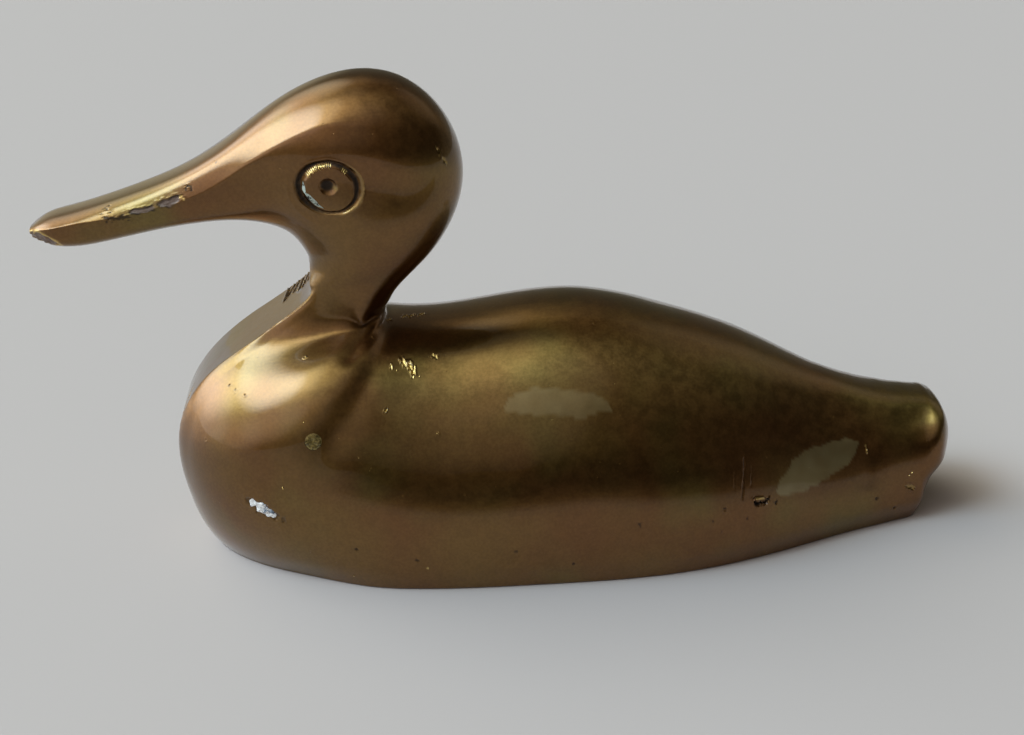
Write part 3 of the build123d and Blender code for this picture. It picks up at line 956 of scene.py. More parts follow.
def head_casting(size):
    """Bill, head, neck and spigot, solid."""
    eye_x, eye_z = along_duck(size, EYE_SHARES[0]), EYE_SHARES[1] * size.height
    # The mesh is divided further at the eyes, the bill's edge and tip, the marks and
    # the file's cuts.
    spots = [((eye_x, side * 9.0, eye_z), 4.6, 2) for side in (-1, 1)]
    for path, width, *_ in (
            ([(-55.9, -4.2, 51.8), (-52.0, -4.4, 52.2), (-45.2, -4.8, 54.0), (-43.5, -4.6, 55.3)], 0.6),
            ([(-66, -1.5, 49), (-63.5, -3.2, 47.8), (-60.5, -3.4, 47.2)], 0.9), *HEAD_MARKS):
        spots += spot_for(path, width, 1)
    spots += spot_for(FILE_CUTS, 0.9, 2)
    bm, _ = carved_skin(size, 0, ROOT_ROW, HEAD_STEP, -1, spots)
    close_with_dome(bm, boundary_loops(bm, lambda v: v.co.x < -60)[0], Vector((-1, 0, 0)), 0.12, 4)
    middle, along, normal = root_of_neck(size)
    outer = max(boundary_loops(bm, lambda v: v.co.x > -60), key=len)
    radius = size.spigot_diameter / 2
    ring = ring_of_edges(bm, circle_points(middle, along, ACROSS, radius, BORE_STEPS))
    fill_between(bm, (outer, ring), -normal)
    depth = size.seat_thickness + size.spigot_end
    for down, narrow in ((depth * 0.5, 0), (depth - size.spigot_chamfer, 0), (depth, size.spigot_chamfer)):
        places = circle_points(middle - normal * down, along, ACROSS, radius - narrow, BORE_STEPS)
        ring = stretch_ring(bm, ring, places)
    close_with_dome(bm, ring, -normal, 0.12, 4)
    return finish_mesh(bm, "head_casting")


def hollow_mesh(bm, layer, size):
    """The hollow's wall and the seat under the neck, with its bore. It is left as it
    came from the sand."""
    rows = hollow_rows(size)
    knots = row_knots(rows)
    places = section_places(knots, rows, 0, len(rows) - 1, HOLLOW_STEP)
    turns = ring_turns(*HOLLOW_ROUND_STEPS)
    grid = skin_grid(knots, rows, places, turns)
    points = grid[2]
    sand = 0.07 * waves(points, 2.2, 81) + 0.05 * waves(points, 1.2, 82) + 0.12 * waves(points, 7.0, 83)
    points = points + skin_normals(knots, rows, *grid) * sand[:, None]
    core = bmesh.new()
    verts = [core.verts.new(p) for p in points]
    for quad in grid_faces(len(places), len(turns)):
        core.faces.new([verts[i] for i in quad])
    core.faces.new(verts[-len(turns):])
    middle, along, normal = root_of_neck(size)
    seat = middle - normal * size.seat_thickness
    for place, direction in ((seat, normal), (Vector(), Vector((0, 0, -1)))):
        cut_off(core, place, direction)
    radius = size.spigot_diameter / 2 + size.bore_gap
    outer = boundary_loops(core, lambda v: abs((v.co - seat).dot(normal)) < 0.01 and v.co.z > 5)[0]
    ring = ring_of_edges(core, circle_points(seat, along, ACROSS, radius, BORE_STEPS))
    fill_between(core, (outer, ring), -normal)
    stretch_ring(core, ring, circle_points(middle, along, ACROSS, radius, BORE_STEPS))
    known = {}
    for v in core.verts:
        known[v] = bm.verts.new(v.co)
        known[v][layer["raw"]] = 1.0
    for face in core.faces:
        bm.faces.new([known[v] for v in face.verts])
    core.free()


def body_casting(size):
    """The hollow body, open below, with its rounded standing rim and the core pin holes."""
    # The mesh is divided further at the patches of painted reflection, the marks, the chip, the
    # filed strip's end, the fold and the core pin holes.
    spots = [(place, 2.6, 1) for place in (
        *((x, -15.5, 26.4) for x in (-1, 2, 5, 8, 11)),
        (38.5, -14.7, 11.4), (41, -13.3, 12.4), (44, -11.8, 12.6), (47, -10, 13), (50, -9, 13.6))]
    for path, half_width, *_ in (*BODY_MARKS, (CHIP, 0.7), ([(-46.6, -2.6, 23.9), (-48.1, -4.4, 20.2)], 0.6)):
        spots += spot_for(path, half_width, 2)
    spots += spot_for([(-18.2, -1.2, 34.4), (-22.3, -8.6, 33.4)], 0.8, 1)
    pin = Vector((along_duck(size, PIN_SHARES[0]), 0, PIN_SHARES[1] * size.height))
    spots += [((pin.x, side * 17.9, pin.z), 1.7, 2) for side in (-1, 1)]
    bm, layer = carved_skin(size, ROOT_ROW, LAST_ROW, BODY_STEP, 0, spots)
    close_with_dome(bm, boundary_loops(bm, lambda v: v.co.x > 60)[0], Vector((1, 0, 0)), 0.6, 12)
    # The standing rim's outer edge is rounded over a radius of a third of a millimetre.
    rim = 0.35
    cut_off(bm, Vector((0, 0, rim)), Vector((0, 0, -1)))
    loop = boundary_loops(bm, lambda v: abs(v.co.z - rim) < 0.01)[0]
    start = [v.co.copy() for v in loop]
    count = len(start)
    wide = [(start[(i + 3) % count] - start[i - 3]).cross(Vector((0, 0, 1))).normalized()
            for i in range(count)]
    if start[0].dot(wide[0]) < 0:
        wide = [-w for w in wide]
    ring = loop
    steps = 3
    for k in range(1, steps + 1):
        angle = math.pi / 2 * k / steps
        inward, down = rim * (1 - math.cos(angle)), Vector((0, 0, rim * math.sin(angle)))
        ring = stretch_ring(bm, ring, [p - w * inward - down for p, w in zip(start, wide)])
    hollow_mesh(bm, layer, size)
    for test, normal in ((lambda v: abs(v.co.z) < 0.02, (0, 0, -1)),
                         (lambda v: v.co.z > 20, root_of_neck(size)[2])):
        fill_between(bm, boundary_loops(bm, test)[:2], normal)
    for side in (-1, 1):
        drill(bm, pin, size.pin_diameter / 2 + size.pin_gap, side)
    return finish_mesh(bm, "body_casting")


def drill(bm, middle, radius, side):
    """A straight hole along Y through one side's wall."""
    def away(v):
        return math.hypot(v.co.x - middle.x, v.co.z - middle.z)

    close = dict.fromkeys(e for v in bm.verts if v.co.y * side > 3 and away(v) < radius + 1.6
                          for e in v.link_edges)
    coarse = [e for e in close if e.calc_length() > 0.45]
    bmesh.ops.subdivide_edges(bm, edges=coarse, cuts=3, use_grid_fill=True)
    inside = [v for v in bm.verts if v.co.y * side > 3 and away(v) < radius]
    bmesh.ops.delete(bm, geom=inside, context="VERTS")
    bm.normal_update()
    loops = boundary_loops(bm, lambda v: v.co.y * side > 3 and away(v) < radius + 1.2)[:2]
    for v in (*loops[0], *loops[1]):
        stretch = radius / away(v) - 1
        dx, dz = (v.co.x - middle.x) * stretch, (v.co.z - middle.z) * stretch
        v.co += Vector((dx, -(v.normal.x * dx + v.normal.z * dz) / v.normal.y, dz))
    bmesh.ops.bridge_loops(bm, edges=[bm.edges.get(pair) for loop in loops for pair in round_pairs(loop)])


# Brazing metal, plugs and deposits, which lie on the castings.


def surface_of(name):
    """A casting's surface, to be asked for its nearest point in millimetres."""
    mesh = bpy.data.objects[name].data
    return BVHTree.FromPolygons([v.co / MM for v in mesh.vertices], [p.vertices[:] for p in mesh.polygons])


def tube(bm, rings, joined=False):
    """A tube through rings of points. Its ends are flat, or are joined to each other."""
    first = last = [bm.verts.new(p) for p in rings[0]]
    for ring in rings[1:]:
        last = stretch_ring(bm, last, ring)
    if joined:
        join_rings(bm, last, first)
    else:
        bm.faces.new(first)
        bm.faces.new(last)


def neck_braze_metal(size):
    """The ring of brazing metal that ran round the spigot, under the seat."""
    middle, along, normal = root_of_neck(size)
    seat = middle - normal * size.seat_thickness
    spigot = size.spigot_diameter / 2
    hollow_radius = 1.5 * size.braze_leg
    centre = size.braze_leg / 2 + math.sqrt((hollow_radius ** 2 - size.braze_leg ** 2 / 2) / 2)
    first = math.atan2(-centre, size.braze_leg - centre)
    last = math.atan2(size.braze_leg - centre, -centre)
    count, steps = 120, 14
    bm = bmesh.new()
    # From the spigot to the seat, over an arc that is a little uneven round the ring.
    rings = []
    for k in range(steps + 1):
        a = first + (last - first) * k / steps
        ring = []
        for i in range(count):
            turn = 2 * math.pi * i / count
            way = along * math.cos(turn) + ACROSS * math.sin(turn)
            run = np.array([[math.cos(turn) * 6, math.sin(turn) * 6, k * 0.35]])
            reach = 1 + 0.10 * waves(run, 5.0, 91)[0] + 0.03 * waves(run, 1.6, 92)[0]
            wide = (centre + hollow_radius * math.cos(a)) * reach
            deep = (centre + hollow_radius * math.sin(a)) * reach
            ring.append(seat + way * (spigot + max(wide, 0.01)) - normal * max(deep, 0.0))
        rings.append(ring)
    rings.append(circle_points(seat, along, ACROSS, spigot + 0.01, count))
    tube(bm, rings, joined=True)
    return finish_mesh(bm, "neck_braze_metal")


def core_pin_plug_ends(size):
    """Plugs in the two core pin holes. Outside they were filed with the skin, and
    they sank a little."""
    surface = surface_of("body_casting")
    x, z = along_duck(size, PIN_SHARES[0]), PIN_SHARES[1] * size.height
    radius = size.pin_diameter / 2
    count = 40
    angles = [2 * math.pi * i / count for i in range(count)]
    bm = bmesh.new()
    for side in (-1, 1):
        # The skin at each hole is nearly flat, so each end of the plug follows a plane.
        ends = []
        for start, way in ((40.0, -side), (0.0, side)):
            found = []
            for a in angles:
                dx, dz = 1.5 * math.cos(a), 1.5 * math.sin(a)
                hit = surface.ray_cast(Vector((x + dx, side * start, z + dz)), Vector((0, way, 0)))[0]
                found.append((1, dx, dz, hit.y))
            found = np.array(found)
            ends.append(np.linalg.lstsq(found[:, :3], found[:, 3], rcond=None)[0])
        rings = []
        for end, outside, shares in ((ends[0], True, (0.08, 0.3, 0.5, 0.7, 0.85, 0.95, 1.0)),
                                     (ends[1], False, (1.0, 0.9, 0.5, 0.1))):
            for share in shares:
                ring = []
                for a in angles:
                    dx, dz = radius * share * math.cos(a), radius * share * math.sin(a)
                    y = end @ (1, dx, dz)
                    rough = waves(np.array([[dx, 20.0 * side, dz]]), 0.8, 95)[0]
                    if outside:
                        y += side * (0.02 + 0.035 * rough - 0.05 * (share > 0.9))
                    else:
                        y -= side * (0.15 * (1 - share) + 0.05 * rough * (share < 1))
                    ring.append(Vector((x + dx, y, z + dz)))
                rings.append(ring)
        tube(bm, rings)
    return finish_mesh(bm, "core_pin_plug_ends")


def crust(name, surface, path, half_width, thickness, seed, ragged, taper):
    """A thin deposit that lies on a casting along a path, with ragged edges, closed
    underneath. By its end it has lost the share of its width that taper gives."""
    path = [Vector(p) for p in path]
    long_steps, cross_steps = 48, 20
    top, bottom = [], []
    for i in range(long_steps + 1):
        u = i / long_steps
        place = u * (len(path) - 1)
        k = min(int(place), len(path) - 2)
        centre = path[k].lerp(path[k + 1], place - k)
        tangent = (path[k + 1] - path[k]).normalized()
        _, out, _, _ = surface.find_nearest(centre)
        across = tangent.cross(out).normalized()
        full = max(0.12, math.sin(math.pi * (0.03 + 0.94 * u)) ** 0.7)
        for j in range(cross_steps + 1):
            v = 2 * j / cross_steps - 1
            field = np.array([[centre.x, centre.y, centre.z + 3 * v]])
            edge = waves(np.array([[u * 4, math.copysign(3, v), seed]]), 0.7, seed)[0]
            wide = half_width * full * (1 - taper * u) * (1 + ragged * edge)
            hit, out, _, _ = surface.find_nearest(centre + across * v * wide)
            rise = thickness * (1 - v ** 4) * full * (0.75 + 0.3 * waves(field, 0.7, seed + 3)[0])
            top.append(hit + out * max(rise, 0.01))
            bottom.append(hit - out * 0.06)
    bm = bmesh.new()
    columns = cross_steps + 1
    sheets = [[bm.verts.new(p) for p in sheet] for sheet in (top, bottom)]
    for sheet in sheets:
        for i in range(long_steps):
            for j in range(cross_steps):
                a = i * columns + j
                bm.faces.new([sheet[a], sheet[a + 1], sheet[a + 1 + columns], sheet[a + columns]])
    edge = [*range(cross_steps), *(i * columns + cross_steps for i in range(long_steps)),
            *(long_steps * columns + j for j in range(cross_steps, 0, -1)),
            *(i * columns for i in range(long_steps, 0, -1))]
    for a, b in round_pairs(edge):
        bm.faces.new([sheets[0][a], sheets[0][b], sheets[1][b], sheets[1][a]])
    return finish_mesh(bm, name)


def points_with_frames(surface, places, ways):
    """Places on a casting as a cloud of points, each with its outward and its
    lengthwise direction."""
    points, outs, alongs = [], [], []
    for place, way in zip(places, ways):
        hit, out, _, _ = surface.find_nearest(Vector(place))
        along = Vector(way) - out * Vector(way).dot(out)
        points.append(hit * MM)
        outs.append(out)
        alongs.append(along.normalized() if along.length > 0.01 else out.orthogonal())
    mesh = bpy.data.meshes.new("burr_places")
    mesh.from_pydata(points, [], [])
    for name, values in (("out", outs), ("along", alongs)):
        layer = mesh.attributes.new(name, "FLOAT_VECTOR", "POINT")
        layer.data.foreach_set("vector", np.array(values, dtype=np.float32).ravel())
    return add_object("burr_places", mesh)


def burr_tree():
    """Geometry nodes that set a small pointed burr at each point of a cloud."""
    tree = bpy.data.node_groups.new("burrs_on_points", "GeometryNodeTree")
    face = tree.interface
    face.new_socket("Geometry", in_out="INPUT", socket_type="NodeSocketGeometry")
    sockets = {name: face.new_socket(name, in_out="INPUT", socket_type="NodeSocket" + kind).identifier
               for name, kind in (("Length", "Float"), ("Width", "Float"), ("Height", "Float"),
                                  ("Unevenness", "Float"), ("Seed", "Int"), ("Material", "Material"))}
    face.new_socket("Geometry", in_out="OUTPUT", socket_type="NodeSocketGeometry")
    given = tree.nodes.new("NodeGroupInput").outputs
    burr = add_node(tree, "GeometryNodeMeshIcoSphere", {"Radius": 0.5, "Subdivisions": 2}).outputs["Mesh"]
    noise = add_node(tree, "ShaderNodeTexNoise", {"Scale": 1.7, "Detail": 1.0}).outputs["Color"]
    shake = add_node(tree, "ShaderNodeVectorMath", {0: noise, 1: (0.5, 0.5, 0.5)},
                     operation="SUBTRACT").outputs[0]
    burr = add_node(tree, "GeometryNodeSetPosition", {"Geometry": burr, "Offset": shake}).outputs["Geometry"]
    size = add_node(tree, "ShaderNodeCombineXYZ", {"X": given["Length"], "Y": given["Width"],
                                                   "Z": given["Height"]}).outputs[0]
    out, along = (add_node(tree, "GeometryNodeInputNamedAttribute", {"Name": name},
                           data_type="FLOAT_VECTOR").outputs[0] for name in ("out", "along"))
    facing = add_node(tree, "FunctionNodeAlignRotationToVector", {"Vector": out}, axis="Z").outputs[0]
    facing = add_node(tree, "FunctionNodeAlignRotationToVector", {"Rotation": facing, "Vector": along},
                      axis="X", pivot_axis="Z").outputs[0]
    least, most = (add_node(tree, "ShaderNodeMath", {0: 1.0, 1: given["Unevenness"]},
                            operation=operation).outputs[0] for operation in ("SUBTRACT", "ADD"))
    uneven = add_node(tree, "FunctionNodeRandomValue", {2: least, 3: most, "Seed": given["Seed"]},
                      data_type="FLOAT").outputs[1]
    scaled = add_node(tree, "ShaderNodeVectorMath", {0: size, "Scale": uneven}, operation="SCALE").outputs[0]
    placed = add_node(tree, "GeometryNodeInstanceOnPoints", {
        "Points": given["Geometry"], "Instance": burr, "Rotation": facing, "Scale": scaled}).outputs[0]
    real = add_node(tree, "GeometryNodeRealizeInstances", {"Geometry": placed}).outputs[0]
    made = add_node(tree, "GeometryNodeSetMaterial", {
        "Geometry": real, "Material": given["Material"]}).outputs[0]
    end = tree.nodes.new("NodeGroupOutput")
    tree.links.new(made, end.inputs["Geometry"])
    return tree, sockets


def burrs(name, cloud, material, length, width, height, unevenness, seed):
    """A piece made of burrs on a cloud's points. The cloud and the modifier are gone afterwards."""
    tree, sockets = burr_tree()
    modifier = cloud.modifiers.new("burrs", "NODES")
    modifier.node_group = tree
    for key, value in (("Length", length * MM), ("Width", width * MM), ("Height", height * MM),
                       ("Unevenness", unevenness), ("Seed", seed), ("Material", material)):
        modifier[sockets[key]] = value
    bpy.context.view_layer.update()
    evaluated = cloud.evaluated_get(bpy.context.evaluated_depsgraph_get())
    mesh = bpy.data.meshes.new_from_object(evaluated)
    mesh.name = name
    mesh.shade_smooth()
    old = cloud.data
    bpy.data.objects.remove(cloud)
    bpy.data.meshes.remove(old)
    return add_object(name, mesh)


def eye_rim_places(size):
    """Where the drill chattered on the upper rim of each eye's island, and the way
    outward there."""
    places, ways = [], []
    inner = size.eye_island / 2
    r = inner + 0.16
    for side in (-1, 1):
        for i in range(int(math.radians(148) * inner / size.chatter_pitch)):
            a = (i + 0.72) * size.chatter_pitch / inner
            if chatter_arc(math.degrees(a)) < 0.5:
                continue
            places.append((along_duck(size, EYE_SHARES[0]) + EYE_ISLAND_SHIFT[0] + r * math.cos(a),
                           side * (EYE_FLOOR_SHARE * size.head_width + 1.2),
                           EYE_SHARES[1] * size.height + EYE_ISLAND_SHIFT[1] + r * math.sin(a)))
            ways.append((math.cos(a), 0, math.sin(a)))
    return places, ways


# Bright specks and nibs that stand up from the body's skin.
NIBS = [(-29.7, -10.0, 32.2), (-30.0, -16.9, 25.6), (-33.4, -18.3, 16.1), (-24.1, -19.3, 2.1),
        (-18.7, -15.7, 26.2), (-11.7, -17.2, 23.2), (-13.7, -21.2, 4.0), (-15.2, -10.4, 30.7),
        (-14.4, -11.1, 30.1), (-14.9, -10.9, 30.3), (-13.9, -11.9, 29.5), (-17.0, -11.4, 30.3),
        (-11.7, -9.0, 31.4), (-11.3, -9.2, 31.3), (-15.6, -10.1, 30.9), (-15.3, -0.6, 33.8),
        (-14.5, -0.4, 33.8), (-13.2, 0.0, 33.8), (-17.8, -1.6, 33.8), (52.6, -9.2, 13.0),
        (60.1, -8.5, 8.4), (59.7, -8.6, 8.0), (-8.0, 18.7, 20.4), (-23.1, 17.8, 18.9),
        (15.4, 19.9, 13.2), (-30.4, 13.9, 29.0)]


def neck_burr_places(size):
    """Beside the file's cuts, where it turned up small burrs."""
    places, ways = [], []
    for i, middle in enumerate(file_cut_places(size)[0]):
        for j in range(3):
            spread = -1.6 + 1.9 * j + 0.5 * math.sin(3.1 * i + 1.3 * j)
            places.append(middle + np.array([-0.1, spread, 0.35 + 0.05 * math.sin(i + j)]))
            ways.append((0.1, 1.0, 0.15))
    return places, ways


# Materials.


def add_node(tree, kind, sockets=None, **settings):
    """A node with its settings, and with its sockets set or linked."""
    new = tree.nodes.new(kind)
    for key, value in settings.items():
        setattr(new, key, value)
    for key, value in (sockets or {}).items():
        if isinstance(value, bpy.types.NodeSocket):
            tree.links.new(value, new.inputs[key])
        else:
            new.inputs[key].default_value = value
    return new


def new_material(name):
    material = bpy.data.materials.new(name)
    material.use_nodes = True
    tree = material.node_tree
    tree.nodes.clear()
    return material, tree


def rgba(colour):
    return (*colour, 1.0)


def cast_brass(colours):
    """Cast brass, satin buffed and toned dark by handling. The buffing blurs what it
    mirrors, and a thin clear lacquer lays a faint, sharper gloss over that."""
    material, tree = new_material("satin_toned_cast_brass")
    place = add_node(tree, "ShaderNodeTexCoord").outputs["Object"]
    aside = add_node(tree, "ShaderNodeVectorMath", {0: place, 1: (0.3, 0.1, 0.2)}, operation="ADD").outputs[0]
    drawn_out = add_node(tree, "ShaderNodeMapping", {"Vector": place, "Scale": (0.12, 1.0, 0.55)}).outputs[0]
    value = {name: add_node(tree, "ShaderNodeAttribute", attribute_name=name,
                            attribute_type="GEOMETRY").outputs["Fac"] for name in MARKS}
    # Noises: where they are read, how wide their lumps are in millimetres, detail and roughness.
    # Buffing leaves a grain of about 0.1 mm; it and its streaks are drawn at 0.3 mm so that they show.
    for name, vector, width, detail, roughness in (
            ("clouds", place, 22, 2.0, 0.5), ("olive_clouds", aside, 17, 2.0, 0.5),
            ("mottle", place, 1.6, 3.0, 0.55), ("speckle", place, 0.40, 2.0, 0.5),
            ("grain", place, 0.30, 2.0, 0.6), ("streaks", drawn_out, 0.28, 2.0, 0.6),
            ("holes", place, 0.9, 3.0, 0.7), ("sand", place, 0.6, 3.0, 0.6)):
        value[name] = add_node(tree, "ShaderNodeTexNoise", {
            "Vector": vector, "Scale": 1 / (width * MM), "Detail": detail,
            "Roughness": roughness}).outputs["Fac"]
    # Stretches of a noise, and what their two ends become.
    for name, noise, low, high, to_low, to_high in (
            ("warm", "clouds", 0.35, 0.65, 0.0, 1.0), ("olive", "olive_clouds", 0.42, 0.70, 0.0, 1.0),
            ("pits", "holes", 0.70, 0.78, 0.0, 1.0), ("satin", "mottle", 0.3, 0.7, 0.32, 0.37),
            ("mottle_shade", "mottle", 0.3, 0.7, 0.93, 1.05),
            ("speckle_shade", "speckle", 0.3, 0.7, 0.93, 1.07)):
        value[name] = add_node(tree, "ShaderNodeMapRange", {
            "Value": value[noise], "From Min": low, "From Max": high, "To Min": to_low, "To Max": to_high},
            interpolation_type="SMOOTHSTEP").outputs["Result"]
    # Dull places mirror less, are rougher and have no lacquer; the painted shade counts as dull. A painted
    # reflection only hides some of the metal.
    for name, first, operation, second in (
            ("shade", "mottle_shade", "MULTIPLY", "speckle_shade"), ("dark", "grime", "MAXIMUM", "oxide"),
            ("sandy", "raw", "MULTIPLY", 0.8), ("worn_or_shaded", "dark", "MAXIMUM", "sandy"),
            ("neither_fresh_nor_highlight", 1.0, "SUBTRACT", "fresh"), ("dull", "worn_or_shaded", "MULTIPLY", "neither_fresh_nor_highlight"),
            ("rougher", "dull", "MULTIPLY", 0.3), ("rough", "satin", "ADD", "rougher"),
            ("crust", "dull", "MULTIPLY", 0.6), ("painted_reflection", "haze", "MULTIPLY", 0.22),
            ("covered", "crust", "MAXIMUM", "painted_reflection"), ("metal", 1.0, "SUBTRACT", "covered"),
            ("lacquer", 1.0, "SUBTRACT", "dull"), ("coarse", "sand", "MULTIPLY", "dull")):
        value[name] = add_node(tree, "ShaderNodeMath", {
            0: value.get(first, first), 1: value.get(second, second)}, operation=operation).outputs[0]
    # The marks laid over the toned brass paint tarnish, oxide, raw and fresh metal, and also a window's
    # reflection, shade in the eyes and highlights on the eyes' lit walls.
    colour = rgba(colours.toned_brass)
    for share, over in (("warm", colours.warm_tone), ("olive", colours.olive_tone), ("shade", None),
                        ("raw", colours.raw_brass), ("haze", colours.painted_reflection), ("oxide", colours.oxide),
                        ("grime", colours.tarnish_and_shade), ("fresh", colours.fresh_brass)):
        if over is None:
            colour = add_node(tree, "ShaderNodeVectorMath", {0: colour, "Scale": value[share]},
                              operation="SCALE").outputs[0]
        else:
            colour = add_node(tree, "ShaderNodeMix", {0: value[share], 6: colour, 7: rgba(over)},
                              data_type="RGBA").outputs[2]
    normal = {}
    for name, depth, inward in (("grain", 0.008, False), ("streaks", 0.005, False), ("pits", 0.04, True),
                                ("coarse", 0.09, False)):
        sockets = {"Height": value[name], "Distance": depth * MM, "Strength": 1.0, **normal}
        normal = {"Normal": add_node(tree, "ShaderNodeBump", sockets, invert=inward).outputs[0]}
    # The duck was rubbed crosswise, which spreads what it mirrors along its length.
    lengthwise = add_node(tree, "ShaderNodeCombineXYZ", {"X": 1.0}).outputs[0]
    shader = add_node(tree, "ShaderNodeBsdfPrincipled", {
        "Base Color": colour, "Metallic": value["metal"], "Roughness": value["rough"],
        "Anisotropic": 0.85, "Tangent": lengthwise, "Coat Weight": value["lacquer"],
        "Coat Roughness": 0.03, "Coat IOR": 1.3, **normal})
    add_node(tree, "ShaderNodeOutputMaterial", {"Surface": shader.outputs[0]})
    return material


def lumpy(name, width, noise_roughness, breaks, pale, dark, depth):
    """A new material whose colour turns from pale to dark, and whose surface rises and
    falls, over lumps of a width and a depth in millimetres."""
    material, tree = new_material(name)
    place = add_node(tree, "ShaderNodeTexCoord").outputs["Object"]
    lumps = add_node(tree, "ShaderNodeTexNoise", {
        "Vector": place, "Scale": 1 / (width * MM), "Detail": 4.0,
        "Roughness": noise_roughness}).outputs["Fac"]
    share = add_node(tree, "ShaderNodeMapRange", {
        "Value": lumps, "From Min": breaks[0], "From Max": breaks[1]}, interpolation_type="SMOOTHSTEP")
    colour = add_node(tree, "ShaderNodeMix", {
        0: share.outputs["Result"], 6: rgba(pale), 7: rgba(dark)}, data_type="RGBA")
    bumps = add_node(tree, "ShaderNodeBump", {"Height": lumps, "Distance": depth * MM, "Strength": 1.0})
    return material, tree, lumps, {"Base Color": colour.outputs[2], "Normal": bumps.outputs[0]}


def plain_metal(name, roughness, depth, pale, dark):
    """Brass that no hand has toned: it breaks up into darker grains of about half a millimetre."""
    material, tree, lumps, surface = lumpy(name, 0.5, 0.65, (0.45, 0.72), pale, dark, depth)
    rough = add_node(tree, "ShaderNodeMapRange", {
        "Value": lumps, "From Min": 0.3, "From Max": 0.7, "To Min": roughness - 0.05,
        "To Max": roughness + 0.08}, interpolation_type="SMOOTHSTEP").outputs["Result"]
    shader = add_node(tree, "ShaderNodeBsdfPrincipled", {
        "Metallic": 1.0, "Roughness": rough, "Coat Weight": 0.6, "Coat Roughness": 0.05, **surface})
    add_node(tree, "ShaderNodeOutputMaterial", {"Surface": shader.outputs[0]})
    return material


def chalk(name, width, pale, dark):
    """A dry, powdery crust: matt, rough, and darker where it has broken away."""
    material, tree, _, surface = lumpy(name, width, 0.7, (0.50, 0.62), pale, dark, 0.12)
    shader = add_node(tree, "ShaderNodeBsdfPrincipled", {
        "Roughness": 0.85, "Specular IOR Level": 0.3, **surface})
    add_node(tree, "ShaderNodeOutputMaterial", {"Surface": shader.outputs[0]})
    return material


def place_piece(piece, material, slot_name, *nodes):
    """Gives a piece its material and body, and hides the solids that it stands for. Its slot name is not
    used.
    """
    piece.data.materials.clear()
    piece.data.materials.append(material)
    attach(piece, "root")
    if nodes:
        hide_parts(*nodes)
    return piece


class DUCK_OT_head_casting(bpy.types.Operator):
    """Models the head casting: bill, head, eyes, neck and spigot"""
    bl_idname = "duck.head_casting"
    bl_label = "Head casting"

    def execute(self, context):
        scene = context.scene
        casting = head_casting(lengths(scene))
        place_piece(casting, cast_brass(scene.duck_colours), "cast_brass", "head_and_neck")
        return {"FINISHED"}


class DUCK_OT_body_casting(bpy.types.Operator):
    """Models the hollow body casting, which stands on its rim"""
    bl_idname = "duck.body_casting"
    bl_label = "Body casting"

    def execute(self, context):
        scene = context.scene
        casting = body_casting(lengths(scene))
        place_piece(casting, cast_brass(scene.duck_colours), "cast_brass", "body_shell")
        return {"FINISHED"}


class DUCK_OT_neck_braze_metal(bpy.types.Operator):
    """Models the brazing metal under the seat of the neck"""
    bl_idname = "duck.neck_braze_metal"
    bl_label = "Brazing metal"

    def execute(self, context):
        scene = context.scene
        colours = scene.duck_colours
        # Brazing brass that ran and set: paler than the castings, with a fairly soft shine.
        metal = plain_metal("run_brazing_metal", 0.38, 0.05, colours.brazing_metal, colours.raw_brass)
        place_piece(neck_braze_metal(lengths(scene)), metal, "brazing_metal", "neck_braze")
        return {"FINISHED"}


class DUCK_OT_core_pin_plugs(bpy.types.Operator):
    """Models the plugs in the core pin holes of the body casting"""
    bl_idname = "duck.core_pin_plugs"
    bl_label = "Core pin plugs"

    def execute(self, context):
        scene = context.scene
        colours = scene.duck_colours
        # Rod brass, filed flush: greener than the castings, with dark grains that the file left.
        metal = plain_metal("filed_plug_brass", 0.32, 0.03, colours.plug_brass, colours.tarnish_and_shade)
        place_piece(core_pin_plug_ends(lengths(scene)), metal, "plug_brass", "core_pin_plugs")
        return {"FINISHED"}


class DUCK_OT_deposits(bpy.types.Operator):
    """Lays the filler in the breast's chip and the dried polish in one eye's groove"""
    bl_idname = "duck.deposits"
    bl_label = "Filler and dried polish"

    def execute(self, context):
        colours = context.scene.duck_colours
        # Plaster filler that was pressed in and left: white, matt and blue grey where it is thin.
        filler = chalk("chalky_white_filler", 1.4, colours.filler, colours.filler_core)
        # Metal polish that dried in the groove: pale, powdery and broken by the dark tarnish under it.
        polish = chalk("dried_metal_polish", 0.8, colours.residue, colours.tarnish_and_shade)
        for name, casting, path, half_width, thickness, seed, ragged, taper, material in (
                ("breast_chip_filler", "body_casting", CHIP, 0.80, 0.16, 5, 0.35, 0.0, filler),
                ("eye_residue", "head_casting", EYE_POLISH, 0.50, 0.10, 9, 0.55, 0.65, polish)):
            piece = crust(name, surface_of(casting), path, half_width, thickness, seed, ragged, taper)
            place_piece(piece, material, None)
        return {"FINISHED"}


